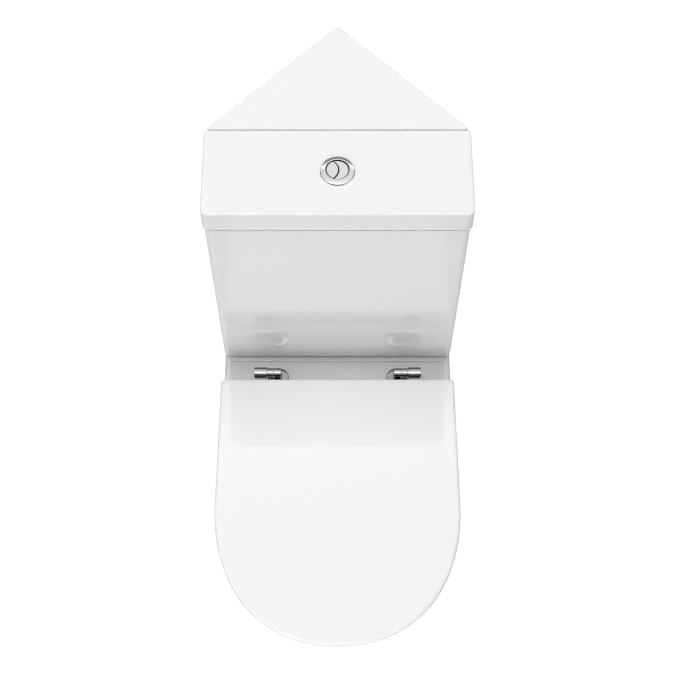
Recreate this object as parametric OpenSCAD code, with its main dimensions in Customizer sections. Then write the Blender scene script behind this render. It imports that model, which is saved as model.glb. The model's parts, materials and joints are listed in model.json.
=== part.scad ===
/* [Overall] */
// Floor to the top of the cistern lid
height = 808; // [780:1:860]
// Floor to the rim and hinge deck of the pan
deck_h = 398; // [385:1:420]

/* [Seat] */
// Width of the seat lid at its widest
seat_w = 360; // [350:1:370]
// Width of the seat lid at its rear edge
seat_rear_w = 356; // [346:1:366]
// Length of the seat lid
seat_l = 420; // [400:1:440]
// Length of the curved nose of the seat
seat_nose = 215.7; // [195:0.1:230]
// Squareness of the nose: 2 is an ellipse, more is squarer
nose_power = 2.2; // [2:0.1:2.8]
// Pan deck to the top of the closed seat lid
seat_h = 45; // [43:1:50]
// Wall of the moulded seat lid
seat_lid_wall = 4.5; // [3.5:0.5:5]
// Rounding of the seat lid's top edge
seat_lid_edge = 5; // [3:0.5:6]
// Pan deck to the lower edge of the lid's skirt
skirt_lift = 7; // [5:0.5:9]
// Height of the seat ring
ring_h = 25; // [22:0.5:26]
// Pan deck to the underside of the seat ring
ring_lift = 8; // [7:0.5:9]
// Rounding of the seat ring's top edges
ring_edge = 8; // [5:0.5:9]
// Gap between the lid's skirt and the ring
ring_gap = 3.2; // [3:0.1:4]
// Wall of the hollow seat ring
ring_wall = 5; // [4:0.5:6]
// Width of the opening in the seat ring
ring_open_w = 230; // [215:1:240]
// Band of the ring in front of the opening
ring_front_band = 62; // [55:1:70]
// Band of the ring behind the opening
ring_rear_band = 72; // [68:1:85]
// Radius of a ring bumper
ring_bumper_r = 8; // [6:0.5:9]
// Radius of a lid bumper
lid_bumper_r = 6; // [5:0.5:8]

/* [Hinges] */
// Rear edge of the seat lid to the hinge axis
hinge_back = 23.8; // [23:0.1:26]
// Pan deck to the hinge axis
hinge_h = 20; // [19:0.5:21]
// Distance between the two hinge studs
hinge_spacing = 185; // [170:1:192]
// Width of a hinge post's head
head_w = 12.4; // [12:0.1:14]
// Width of a ring knuckle
knuckle_w = 9.6; // [8.5:0.1:11]
// Width of a lid barrel
barrel_w = 20.1; // [16:0.1:22]
// Radius of a post head and of a ring knuckle
knuckle_r = 6.25; // [5.5:0.05:7]
// Radius of a lid barrel
barrel_r = 7.65; // [7:0.05:8.2]
// Radius of a hinge pin
pin_r = 3; // [2.5:0.1:3.5]
// Radius of a hinge rosette
rosette_r = 17; // [14:0.5:19]
// Height of a hinge rosette
rosette_h = 4; // [3:0.5:4.5]
// Radius of a hinge stud
stud_r = 4; // [3:0.5:4.5]
// Depth of a hinge stud below the deck
stud_l = 50; // [44:1:60]
// Thickness of the arms under the seat ring and the lid
arm_t = 5; // [4:0.5:5.5]

/* [Cistern] */
// Rear edge of the seat lid to the front of the cistern lid
cistern_gap = 57.1; // [55:0.1:62]
// Depth of the rectangular cistern lid
cistern_lid_d = 141.1; // [135:0.1:160]
// Height of the cistern lid
cistern_lid_h = 39; // [34:1:44]
// Thickness of the lid's top
lid_top_t = 12; // [10:0.5:14]
// Wall of the cistern lid and the corner cover
lid_wall = 11; // [10.5:0.5:13]
// Rounding of the lid's top edges
lid_edge = 3; // [2:0.5:5]
// Joint between the cistern lid and the corner cover
seam = 2; // [1:0.1:3]
// Width of the cistern under its lid
cistern_top_w = 364.8; // [350:0.1:410]
// The lid stands out this far over each side of the cistern
lid_overhang = 2.6; // [1.5:0.1:5]
// Width of the cistern at its foot
cistern_base_w = 354.2; // [340:0.1:360]
// Front of the lid to the front of the cistern
cistern_inset = 1.6; // [1:0.1:4]
// Wall of the cistern
cistern_wall = 9; // [8:0.5:11]
// Floor of the cistern
cistern_floor = 10; // [9:0.5:12]
// Rounding of the cistern's front corners
front_r = 10; // [6:0.5:14]
// Rounding between the cistern's sides and its wall faces
side_r = 18; // [14:0.5:24]
// Rounding of the rear apex
apex_r = 6; // [4:0.5:8]
// The wall faces stand this far behind the edges of the corner cover
wall_proud = 0.5; // [0.3:0.1:2]

/* [Pan] */
// Width of the pan at its rim and deck
pan_w = 353; // [346:1:353]
// Nose of the seat lid to the nose of the pan
pan_inset = 8; // [6:0.5:12]
// Front of the cistern lid to the back of the pan
pan_reach = 148; // [144:1:155]
// Wall of the pan
pan_wall = 12; // [10:0.5:13]
// Rounding of the pan's rim
rim_r = 9; // [6:0.5:10]
// Step from the deck up to the cistern platform
platform_step = 4; // [2:0.5:6]
// The platform's edge in front of the cistern lid
platform_reach = 4; // [3:0.5:8]
// Width of the foot
foot_w = 224; // [210:1:240]
// Nose of the pan to the nose of the foot
foot_setback = 175; // [150:1:190]
// Height at which the pan reaches its full width
flare_h = 350; // [330:1:360]
// Width of the bowl's opening
bowl_w = 250; // [240:1:260]
// Rim in front of the bowl
bowl_front_band = 44; // [40:1:50]
// Length of the bowl's opening
bowl_l = 288; // [280:1:300]
// Depth of the bowl below the rim
bowl_d = 248; // [238:1:252]
// Radius of the trapway
trap_r = 36; // [33:0.5:38]
// Floor to the centre of the waste outlet
outlet_h = 180; // [178:1:184]
// Outer radius of the waste outlet
outlet_r = 51; // [50:0.5:54]
// Wall of the waste outlet
outlet_wall = 10; // [8:0.5:11]
// Back of the pan to the end of the waste outlet
outlet_l = 40; // [30:1:50]

/* [Pan fixings] */
// Distance between the two floor screw holes
floor_spacing = 152; // [140:1:160]
// Radius of a floor screw hole
floor_hole_r = 4.2; // [3.5:0.1:5]
// Front of the cistern lid to the floor screws
floor_setback = 86; // [70:1:100]
// Height of the side screws
side_screw_h = 35; // [30:1:40]
// Radius of a side screw
side_screw_r = 3; // [2.5:0.1:3.5]
// Thickness of a floor bracket
bracket_t = 4; // [3:0.5:5]
// Width of a floor bracket
bracket_w = 40; // [34:1:50]
// Radius of a screw cap
cap_r = 9; // [8:0.5:11]

/* [Cistern fixings] */
// Distance between the two cistern bolts
bolt_spacing = 170; // [160:1:190]
// Radius of a cistern bolt
bolt_r = 4; // [3:0.5:5]
// Thickness of the rubber rest pads
pad_t = 3; // [2:0.5:5]
// Radius of the recess for the flush gasket
recess_r = 50; // [49:0.5:53]
// Depth of that recess below the platform
recess_d = 28; // [26:1:30]
// Radius of the flush inlet
inlet_r = 27; // [24:0.5:28]

/* [Flush valve] */
// Radius of the valve's threaded tail
tail_r = 29; // [28:0.5:31]
// Length of the tail below the cistern
tail_l = 25; // [22:0.5:26]
// Wall of the tail
tail_wall = 4; // [3:0.5:5]
// Radius of the valve's flange
flange_r = 43; // [41:0.5:46]
// Height of the valve's tower
tower_h = 237; // [215:1:245]
// Radius of the overflow tube
tube_r = 11; // [9:0.5:12]
// Radius of the core's seal
seal_r = 33; // [31:0.5:34]

/* [Button] */
// Radius of the button's ring
bezel_r = 24.5; // [23:0.5:28]
// Height of that ring above the lid
bezel_h = 5; // [4:0.5:6]
// Radius of the two buttons together
button_r = 16.5; // [15.5:0.1:17]
// Radius of the threaded barrel
bezel_barrel_r = 19; // [18.5:0.1:21]
// Length of the threaded barrel under the lid's top
bezel_barrel_l = 30; // [28:0.5:36]
// Travel of a button
button_travel = 5; // [3:0.5:5]
// Radius of the curve between the two buttons
split_r = 16.7; // [15:0.1:20]
// Offset of that curve's centre
split_x = 15.3; // [13:0.1:18]
// Radius of a push rod
rod_r = 2.5; // [2:0.1:2.8]
// Wire of a return spring
spring_wire = 1.2; // [0.8:0.1:1.4]
// Mean radius of a return spring
spring_r = 4.2; // [3.9:0.1:4.4]

/* [Fill valve] */
// Front of the cistern lid to the fill valve
fill_setback = 222; // [215:1:235]
// Radius of the threaded water inlet
shank_r = 10.4; // [9:0.1:13]
// Length of the inlet below the cistern
shank_l = 40; // [38:1:50]
// Length of its end for the supply hose, up to a groove
hose_l = 25; // [18:1:26]
// Height of the fill valve above the cistern's floor
fill_h = 300; // [240:1:310]
// Radius of the float
float_r = 30; // [26:0.5:34]
// Height of the float
float_h = 80; // [60:1:90]

/* [Hidden] */

$fn = 48;
over = 1;            // cutters run this far past a face
fit = 0.05;          // radial clearance of a pin in its bore
side_gap = 0.3;      // between two pieces that turn beside each other
slide_gap = 0.5;     // around a rod or tube that slides in a guide
loose = 1;           // around a bolt or tail in a ceramic hole
diagonal = sqrt(2);

// The lid stands out past the cistern on both sides
cistern_lid_w = cistern_top_w + 2 * lid_overhang;

// Places along Y, from the nose of the seat at the front to the apex in the room's corner
overall_d = seat_l + cistern_gap + cistern_lid_d + cistern_lid_w / 2
  + wall_proud * diagonal - apex_r * (diagonal - 1);
front_y = -overall_d / 2;
seat_rear_y = front_y + seat_l;
axis_y = seat_rear_y + hinge_back;
lid_front_y = seat_rear_y + cistern_gap;
seam_y = lid_front_y + cistern_lid_d;
valve_y = lid_front_y + cistern_lid_d / 2;
fill_y = lid_front_y + fill_setback;
pan_front_y = front_y + pan_inset;
pan_back_y = lid_front_y + pan_reach;
// x + y along the rear edges of the cover and along the wall faces of the cistern
cover_sum = seam_y + cistern_lid_w / 2;
wall_sum = cover_sum + wall_proud * diagonal;

// Places along Z
axis_z = deck_h + hinge_h;
platform_z = deck_h + platform_step;
cistern_z = platform_z + pad_t;
floor_z = cistern_z + cistern_floor;
rim_z = height - cistern_lid_h;
seat_top_z = deck_h + seat_h;
ring_z = deck_h + ring_lift;
ring_top_z = ring_z + ring_h;
deck_under_z = deck_h - pan_wall;

// Places across, from the middle outwards along one hinge
hinge_x = hinge_spacing / 2;
head_end_x = hinge_x + head_w / 2;
knuckle_x = head_end_x + side_gap;
knuckle_end_x = knuckle_x + knuckle_w;
barrel_x = knuckle_end_x + side_gap;
barrel_end_x = barrel_x + barrel_w;
pin_inset = 2;

// ---------------------------------------------------------------- outlines and lofts

function unit(v) = v / norm(v);
function mix(a, b, t) = a + (b - a) * t;
function at_height(outline, z) = [for (p = outline) [p[0], p[1], z]];

// A convex outline, counter-clockwise from above, with an arc of its own radius at each corner
function rounded(points, radii, steps = 6) = [
  for (i = [0 : len(points) - 1])
    let (
      n = len(points),
      p = points[i],
      a = unit(points[(i + n - 1) % n] - p),
      b = unit(points[(i + 1) % n] - p),
      half = acos(a * b) / 2,
      centre = p + unit(a + b) * radii[i] / sin(half),
      first = p + a * radii[i] / tan(half) - centre,
      start = atan2(first[1], first[0]),
      turn = 180 - 2 * half
    )
    for (k = [0 : steps])
      centre + radii[i] * [cos(start + turn * k / steps), sin(start + turn * k / steps)]
];

// A curved nose from its tip to the right flank
function nose(hw, front, mid, steps) = [
  for (i = [0 : steps])
    let (t = 90 * i / steps)
    [hw * pow(sin(t), 2 / nose_power), mid - (mid - front) * pow(cos(t), 2 / nose_power)]
];

// The right rear corner
function rear_corner(hw, rear, r, steps) = [
  for (i = [0 : steps])
    let (t = 90 * i / steps)
    [hw - r + r * cos(t), rear - r + r * sin(t)]
];

// Curved nose, straight flanks and two round rear corners
function tongue(hw, front, mid, rear_hw, rear, r, steps) =
  let (right = concat(nose(hw, front, mid, steps), rear_corner(rear_hw, rear, r, 5)))
  concat(right, [for (i = [len(right) - 1 : -1 : 1]) [-right[i][0], right[i][1]]]);

// A solid through sections that all have the same number of points
module loft(sections) {
  n = len(sections[0]);
  last = (len(sections) - 1) * n;
  sides = [
    for (s = [0 : len(sections) - 2], i = [0 : n - 1])
      let (low = s * n + i, next = s * n + (i + 1) % n)
      each [[low, low + n, next + n], [low, next + n, next]]
  ];
  polyhedron(
    [for (s = sections) each s],
    concat([[for (i = [0 : n - 1]) i]], sides, [[for (i = [n - 1 : -1 : 0]) last + i]])
  );
}

module both_sides() {
  children();
  mirror([1, 0, 0]) children();
}

module ring_of(outer, inner, h) {
  difference() {
    cylinder(r = outer, h = h);
    translate([0, 0, -over]) cylinder(r = inner, h = h + 2 * over);
  }
}

// A cylinder along X from x1 to x2
module rod_x(r, x1, x2) {
  translate([x1, 0, 0]) rotate([0, 90, 0]) cylinder(r = r, h = x2 - x1);
}

// A cylinder along Y from y1 to y2
module rod_y(r, y1, y2) {
  translate([0, y1, 0]) rotate([-90, 0, 0]) cylinder(r = r, h = y2 - y1);
}

// A block between two corners
module block(low, high) {
  translate(low) cube(high - low);
}

// ---------------------------------------------------------------- pan

pan_corner_r = 60;
foot_corner_r = 40;
foot_back_inset = 20;
pan_nose_l = 205;    // from the nose back to the straight flanks
foot_nose_l = 110;
pan_mid_y = pan_front_y + pan_nose_l;
foot_mid_y = pan_front_y + foot_setback + foot_nose_l;
pan_steps = 14;
bowl_wall = pan_wall - 1;
bowl_front_y = pan_front_y + bowl_front_band;
bowl_rear_y = bowl_front_y + bowl_l;
bowl_z = deck_h - bowl_d;
sump_w = 84;
sump_front_y = bowl_rear_y - 108;
sump_rear_y = bowl_rear_y - 12;
recess_z = platform_z - recess_d;
boss_h = 24;
channel_r = 20;
outlet_end_y = pan_back_y + outlet_l;
shoulder = 4;

// How far the pan has flared out at a height: 0 at the foot, 1 at the rim
function flare(z) = (1 - cos(180 * pow(min(1, max(0, z / flare_h)), 1.7))) / 2;

function pan_section(z, inset) =
  let (t = flare(z), hw = mix(foot_w, pan_w, t) / 2 - inset)
  at_height(
    tongue(
      hw,
      mix(pan_front_y + foot_setback, pan_front_y, t) + inset,
      mix(foot_mid_y, pan_mid_y, t),
      hw,
      mix(pan_back_y - foot_back_inset, pan_back_y, t) - inset,
      mix(foot_corner_r, pan_corner_r, t) - inset,
      pan_steps
    ),
    z
  );

function bowl_section(z, outset) =
  let (
    u = min(1, max(0, (deck_h - z) / bowl_d)),
    hw = mix(bowl_w, sump_w, pow(u, 2)) / 2 + outset,
    front = mix(bowl_front_y, sump_front_y, pow(u, 1.6)) - outset,
    rear = mix(bowl_rear_y, sump_rear_y, u) + outset
  )
  at_height(tongue(hw, front, mix(front, rear, 0.56), hw, rear, hw * 0.5, pan_steps), z);

// The middle of the trapway, from the sump under the bowl, over the weir and down to the outlet
trap_end_y = pan_back_y - foot_back_inset;
trap_path = [
  for (p = [
    [0.12, bowl_z + 40], [0.2, bowl_z + 2], [0.32, bowl_z - 22], [0.45, bowl_z + 2], [0.56, bowl_z + 50],
    [0.67, bowl_z + 92], [0.77, bowl_z + 100], [0.86, bowl_z + 76], [0.93, outlet_h + 10], [1, outlet_h]
  ])
    [mix(sump_front_y, trap_end_y, p[0]), p[1]]
];

function trap_section(i, r) =
  let (
    before = trap_path[max(0, i - 1)],
    after = trap_path[min(len(trap_path) - 1, i + 1)],
    t = unit(after - before)
  )
  [
    for (k = [0 : 19])
      [r * cos(18 * k), trap_path[i][0] + r * sin(18 * k) * t[1], trap_path[i][1] - r * sin(18 * k) * t[0]]
  ];

module trap(r) {
  loft([for (i = [0 : len(trap_path) - 1]) trap_section(i, r)]);
}

module pan_skin(inset, bottom, top) {
  loft([for (i = [0 : 9]) pan_section(mix(bottom, top, i / 9), inset)]);
}

module bowl_skin(outset, bottom, top) {
  loft([for (i = [0 : 8]) bowl_section(mix(bottom, top, i / 8), outset)]);
}

// A sloping pipe from under the flush gasket to the back of the bowl
module flush_channel(r, end_y) {
  start = [0, valve_y, recess_z - boss_h / 2];
  drop = 10;
  run = valve_y - end_y;
  translate(start)
    rotate([90 + atan2(drop, run), 0, 0])
      cylinder(r = r, h = norm([run, drop]), $fn = 32);
}

module platform() {
  front = lid_front_y - platform_reach;
  intersection() {
    translate([0, 0, deck_under_z])
      linear_extrude(platform_z - deck_under_z)
        polygon([for (p = pan_section(deck_h, rim_r)) [p[0], p[1]]]);
    block([-pan_w, front, deck_under_z], [pan_w, pan_back_y + over, platform_z]);
  }
}

module gasket_recess() {
  translate([0, valve_y, recess_z]) cylinder(r = recess_r, h = recess_d + over);
}

// The rim, the hinge deck and the platform, with the mouth of the bowl and the holes for bolts
module pan_deck() {
  round_steps = 3;
  color("white")
  difference() {
    union() {
      loft(concat(
        [pan_section(deck_under_z, 0)],
        [
          for (i = [0 : round_steps])
            let (a = 90 * i / round_steps)
            pan_section(deck_h - rim_r + rim_r * sin(a), rim_r * (1 - cos(a)))
        ]
      ));
      platform();
    }
    bowl_skin(0, deck_under_z - over, deck_h + over);
    gasket_recess();
    both_sides() {
      translate([bolt_spacing / 2, valve_y, deck_under_z - over])
        cylinder(r = bolt_r + 2 * loose, h = platform_z - deck_under_z + 2 * over);
      translate([hinge_x, axis_y, deck_under_z - over])
        cylinder(r = stud_r + 3 * loose, h = pan_wall + 2 * over);
    }
  }
}

// The bowl, the trapway to the waste spigot and the flush channel behind the bowl
module pan_bowl() {
  color("white")
  difference() {
    union() {
      bowl_skin(bowl_wall, bowl_z - bowl_wall, deck_h);
      trap(trap_r + bowl_wall);
      translate([0, valve_y, recess_z - boss_h])
        cylinder(r = recess_r + pan_wall, h = deck_h - recess_z + boss_h);
      flush_channel(channel_r + bowl_wall, bowl_rear_y + bowl_wall);
      translate([0, 0, outlet_h]) {
        rod_y(outlet_r, pan_back_y - over, outlet_end_y);
        rod_y(outlet_r + shoulder, pan_back_y - foot_back_inset - pan_wall, pan_back_y);
      }
    }
    bowl_skin(0, bowl_z, deck_h + over);
    trap(trap_r);
    flush_channel(channel_r, bowl_rear_y - channel_r);
    translate([0, 0, outlet_h])
      rod_y(outlet_r - outlet_wall, pan_back_y - foot_back_inset - 2 * pan_wall, outlet_end_y + over);
    gasket_recess();
    translate([0, valve_y, recess_z - boss_h / 2]) cylinder(r = inlet_r, h = boss_h);
    block([-pan_w, front_y, deck_under_z], [pan_w, pan_back_y, platform_z]);
  }
}

// The outer skin from the floor to the deck, open underneath
module pan_skirt() {
  color("white")
  difference() {
    loft([for (i = [0 : 11]) pan_section(mix(0, deck_under_z, i / 11), 0)]);
    pan_skin(pan_wall, -over, deck_under_z + over);
    translate([0, 0, outlet_h])
      rod_y(outlet_r + shoulder, pan_back_y - foot_back_inset - 3 * pan_wall, pan_back_y + over);
    translate([0, floor_y, side_screw_h])
      both_sides() rod_x(side_screw_r + loose, foot_w / 2 - 2 * pan_wall, foot_w / 2 + pan_wall);
  }
}

// ---------------------------------------------------------------- pan fixings

floor_y = lid_front_y - floor_setback;
bracket_x = foot_w / 2 - pan_wall - side_gap;
bracket_h = side_screw_h + 14;

module floor_brackets() {
  color("lightgray")
  both_sides() difference() {
    union() {
      block(
        [floor_spacing / 2 - 16, floor_y - bracket_w / 2, 0],
        [bracket_x, floor_y + bracket_w / 2, bracket_t]
      );
      block(
        [bracket_x - bracket_t, floor_y - bracket_w / 2, 0],
        [bracket_x, floor_y + bracket_w / 2, bracket_h]
      );
    }
    translate([floor_spacing / 2, floor_y, -over]) cylinder(r = floor_hole_r, h = bracket_t + 2 * over);
    translate([0, floor_y, side_screw_h])
      rod_x(side_screw_r + fit, bracket_x - bracket_t - over, bracket_x + over);
  }
}

screw_head_r = 6;
screw_head_h = 3;
// The screw heads and caps lie against the foot, which is a little wider above its edge
cap_x = foot_w / 2 + side_gap;

module side_screws() {
  color("silver")
  both_sides() translate([0, floor_y, side_screw_h]) {
    rod_x(side_screw_r, bracket_x - 2 * bracket_t, cap_x + over);
    rod_x(screw_head_r, cap_x, cap_x + screw_head_h);
  }
}

module screw_caps() {
  rise = 5;
  color("white")
  both_sides() translate([cap_x, floor_y, side_screw_h]) rotate([0, 90, 0])
  difference() {
    rotate_extrude()
      polygon([[0, 0], [cap_r, 0], [cap_r, rise / 2], [cap_r - rise / 2, rise], [0, rise]]);
    translate([0, 0, -over]) cylinder(r = screw_head_r + side_gap, h = screw_head_h + side_gap + over);
  }
}

// ---------------------------------------------------------------- cistern fixings

seal_t = 4;
washer_t = 2;
bolt_head_h = 6;
bolt_nut_h = 9;

pad_w = 60;
pad_d = 45;
pad_inset = 15;      // from the bolt and from the front of the lid

module rest_pads() {
  inner_x = bolt_spacing / 2 + pad_inset;
  front = lid_front_y + pad_inset;
  color("dimgray")
  both_sides() block([inner_x, front, platform_z], [inner_x + pad_w, front + pad_d, cistern_z]);
}

module flush_gasket() {
  outer = recess_r - 2 * loose;
  nut_outer = backnut_r + loose;
  waist_z = cistern_z - backnut_h - loose;
  color("dimgray")
  translate([0, valve_y, 0])
  rotate_extrude()
    polygon([
      [tail_r + loose, recess_z], [outer, recess_z],
      [outer, cistern_z], [nut_outer, cistern_z], [nut_outer, waist_z], [tail_r + loose, waist_z]
    ]);
}

module at_bolts() {
  both_sides() translate([bolt_spacing / 2, valve_y, 0]) children();
}

bolt_under_z = deck_under_z - washer_t;

module cistern_bolts() {
  head_z = floor_z + seal_t + washer_t;
  color("silver")
  at_bolts() {
    translate([0, 0, bolt_under_z - bolt_nut_h - 12])
      cylinder(r = bolt_r, h = head_z + over - (bolt_under_z - bolt_nut_h - 12));
    translate([0, 0, head_z]) cylinder(r = 2 * bolt_r, h = bolt_head_h, $fn = 6);
  }
}

module bolt_seals() {
  color("dimgray")
  at_bolts() translate([0, 0, floor_z]) ring_of(3.4 * bolt_r, bolt_r + fit, seal_t);
}

module bolt_washers() {
  color("silver")
  at_bolts() {
    translate([0, 0, floor_z + seal_t]) ring_of(3 * bolt_r, bolt_r + fit, washer_t);
    translate([0, 0, bolt_under_z]) ring_of(3 * bolt_r, bolt_r + fit, washer_t);
  }
}

// A hub with two wings, its top face at z = 0
module wing_nut(bore, h) {
  hub = 1.9 * bore;
  wing = 4.6 * bore;
  difference() {
    union() {
      translate([0, 0, -h]) cylinder(r = hub, h = h);
      block([-wing, -1.5, -h], [wing, 1.5, -1]);
    }
    translate([0, 0, -h - over]) cylinder(r = bore + fit, h = h + 2 * over);
  }
}

module cistern_wing_nuts() {
  color("gainsboro")
  at_bolts() translate([0, 0, bolt_under_z]) rotate([0, 0, 90]) wing_nut(bolt_r, bolt_nut_h);
}

// ---------------------------------------------------------------- cistern, its lid and the corner cover

rail_h = 14;
rail_w = 18;

function cistern_section(z, inset) =
  let (
    t = (z - cistern_z) / (rim_z - cistern_z),
    hw = mix(cistern_base_w, cistern_top_w, t) / 2 - inset,
    front = lid_front_y + cistern_inset + inset,
    sum = wall_sum - inset * diagonal,
    r = [for (r = [front_r, front_r, side_r, apex_r, side_r]) max(r - inset, 2)]
  )
  at_height(
    rounded([[-hw, front], [hw, front], [hw, sum - hw], [0, sum], [-hw, sum - hw]], r),
    z
  );

module cistern() {
  foot_edge = 2;
  color("white")
  difference() {
    union() {
      difference() {
        loft([
          cistern_section(cistern_z, foot_edge),
          cistern_section(cistern_z + foot_edge, 0),
          cistern_section(rim_z, 0)
        ]);
        loft([cistern_section(floor_z, cistern_wall), cistern_section(rim_z + over, cistern_wall)]);
      }
      block(
        [-cistern_top_w / 2 + cistern_wall / 2, seam_y - rail_w / 2, rim_z - rail_h],
        [cistern_top_w / 2 - cistern_wall / 2, seam_y + rail_w / 2, rim_z]
      );
    }
    translate([0, valve_y, cistern_z - over]) cylinder(r = tail_r + 2 * loose, h = cistern_floor + 2 * over);
    translate([0, fill_y, cistern_z - over]) cylinder(r = shank_r + loose, h = cistern_floor + 2 * over);
    at_bolts() translate([0, 0, cistern_z - over])
      cylinder(r = bolt_r + loose, h = cistern_floor + 2 * over);
  }
}

// A slab from the cistern's rim to the top of its lid, with a rounded top edge and a hollow underside
module lid_slab(points, radii) {
  steps = 3;
  n = len(points);
  function slab(inset, z) = at_height(
    rounded(shrink(points, inset), [for (r = radii) max(r - inset / 2, 1)], 4), z);
  difference() {
    loft(concat(
      [slab(0, rim_z)],
      [
        for (i = [0 : steps])
          let (a = 90 * i / steps)
          slab(lid_edge * (1 - cos(a)), height - lid_edge + lid_edge * sin(a))
      ]
    ));
    loft([slab(lid_wall, rim_z - over), slab(lid_wall, height - lid_top_t)]);
  }
}

// A convex polygon with every side moved inwards
function shrink(points, inset) = [
  for (i = [0 : len(points) - 1])
    let (
      n = len(points),
      p = points[i],
      a = unit(points[(i + n - 1) % n] - p),
      b = unit(points[(i + 1) % n] - p)
    )
    p + unit(a + b) * inset / sin(acos(a * b) / 2)
];

module cistern_lid() {
  hw = cistern_lid_w / 2;
  rear = seam_y - seam / 2;
  rib_t = 5;
  rib_l = 40;
  rib_drop = 8;
  rib_y = lid_front_y + cistern_inset + cistern_wall + 2 * loose;
  rib_x = cistern_top_w / 2 - cistern_wall - 2 * loose;
  color("white")
  difference() {
    union() {
      lid_slab(
        [[-hw, lid_front_y], [hw, lid_front_y], [hw, rear], [-hw, rear]],
        [front_r, front_r, 4, 4]
      );
      // Ribs that drop inside the cistern and keep the lid in place
      both_sides() {
        block([hw / 2, rib_y, rim_z - rib_drop], [hw / 2 + rib_l, rib_y + rib_t, height - lid_top_t + over]);
        block(
          [rib_x - rib_t, valve_y - rib_l / 2, rim_z - rib_drop],
          [rib_x, valve_y + rib_l / 2, height - lid_top_t + over]
        );
      }
    }
    translate([0, valve_y, height - lid_top_t - over])
      cylinder(r = bezel_barrel_r + loose, h = lid_top_t + 2 * over);
  }
}

module corner_cover() {
  front = seam_y + seam / 2;
  hw = cover_sum - front;
  color("white")
  lid_slab([[-hw, front], [hw, front], [0, cover_sum]], [3, 3, apex_r]);
}

// ---------------------------------------------------------------- flush valve

valve_washer_t = 3;
flange_t = 5;
seat_lip_h = 2;
seat_lip_w = 3;
backnut_r = 40;
backnut_h = 10;
valve_flange_z = floor_z + valve_washer_t;
valve_deck_z = valve_flange_z + flange_t;
valve_seat_z = valve_deck_z + seat_lip_h;
core_seal_t = 4;
disc_t = 5;
core_disc_z = valve_seat_z + core_seal_t;
tower_top_z = floor_z + tower_h;
tower_plate_t = 6;
tower_r = flange_r - 1.5;
post_r = 3.5;
post_ring_r = tower_r - post_r;
core_lift = 2.2 * button_travel;
tube_top_z = tower_top_z - tower_plate_t - core_lift - 3;
tube_wall = 2;
full_rod_x = 9.5;
half_rod_x = -8;
rocker_inner = 10;   // pivot to the push rod
rocker_outer = 22;   // pivot to the tip under the core's hook
rocker_x = full_rod_x + rocker_inner;
rocker_z = tower_top_z + 10;
rocker_top = 6;      // pivot to the top face of the rocker
rocker_pin_r = 2;
rocker_w = 8;
rod_end_z = rocker_z + rocker_top + 0.4;
hook_z = rocker_z + rocker_top + 1;

module at_valve(z) {
  translate([0, valve_y, z]) children();
}

module valve_washer() {
  color("dimgray")
  at_valve(floor_z) ring_of(flange_r - 1, tail_r + 2 * loose, valve_washer_t);
}

module valve_base() {
  bore = tail_r - tail_wall;
  color("whitesmoke")
  at_valve(0)
  rotate_extrude()
    polygon([
      [bore, cistern_z - tail_l], [tail_r, cistern_z - tail_l], [tail_r, valve_flange_z],
      [flange_r, valve_flange_z], [flange_r, valve_deck_z], [bore + seat_lip_w, valve_deck_z],
      [bore + seat_lip_w, valve_seat_z], [bore, valve_seat_z]
    ]);
}

module valve_backnut() {
  notches = 8;
  color("whitesmoke")
  at_valve(cistern_z - backnut_h)
  difference() {
    ring_of(backnut_r, tail_r + fit, backnut_h);
    for (i = [0 : notches - 1])
      rotate([0, 0, 360 * i / notches])
        block([backnut_r - 4, -4, -over], [backnut_r + over, 4, backnut_h - 4]);
  }
}

module valve_tower() {
  foot_t = 6;
  guide_z = (valve_deck_z + tower_top_z) / 2;
  guide_t = 6;
  ear_t = 3;
  guide_h = 20;
  color("whitesmoke")
  at_valve(0)
  difference() {
    union() {
      translate([0, 0, valve_deck_z]) ring_of(tower_r, seal_r + 1.5, foot_t);
      for (a = [45 : 90 : 315])
        rotate([0, 0, a]) {
          translate([post_ring_r, 0, valve_deck_z]) cylinder(r = post_r, h = tower_top_z - valve_deck_z - 1);
          block([tube_r + 2, -2, guide_z], [post_ring_r, 2, guide_z + guide_t]);
        }
      translate([0, 0, guide_z]) ring_of(tube_r + 4, tube_r + slide_gap, guide_t);
      translate([0, 0, tower_top_z - tower_plate_t]) cylinder(r = tower_r, h = tower_plate_t);
      // Ears for the rocker's pin
      for (side = [-1, 1])
        translate([rocker_x, side * (rocker_w / 2 + slide_gap + ear_t / 2), 0])
          block([-6, -ear_t / 2, tower_top_z - 1], [6, ear_t / 2, rocker_z + 5]);
      // Guide of the half-flush rod
      translate([half_rod_x, 0, tower_top_z - 1]) cylinder(r = rod_r + 3.5, h = guide_h + 1);
    }
    translate([half_rod_x, 0, tower_top_z]) cylinder(r = rod_r + slide_gap, h = guide_h + over);
    translate([rocker_x, 0, rocker_z]) rod_y(rocker_pin_r + fit, -rocker_w, rocker_w);
  }
}

// Disc, overflow tube and the arm that the rocker lifts
module valve_core() {
  arm_z = tube_top_z - 12;
  arm_x = rocker_x + rocker_outer + 3.5;
  hook_t = 5;
  color("lightgray")
  at_valve(0)
  difference() {
    union() {
      translate([0, 0, valve_seat_z - 5]) cylinder(r = tube_r, h = tube_top_z - valve_seat_z + 5);
      translate([0, 0, core_disc_z]) cylinder(r = seal_r - 3, h = disc_t);
      block([tube_r - 1, -5, arm_z], [arm_x + 5, 5, arm_z + 8]);
      block([arm_x, -5, arm_z], [arm_x + 5, 5, hook_z + hook_t]);
      block([rocker_x + 12, -5, hook_z], [arm_x + 5, 5, hook_z + hook_t]);
    }
    translate([0, 0, valve_seat_z - 6]) cylinder(r = tube_r - tube_wall, h = tube_top_z - valve_seat_z + 8);
  }
}

module core_seal() {
  color("dimgray")
  at_valve(valve_seat_z) ring_of(seal_r, tube_r + fit, core_seal_t);
}

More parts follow.
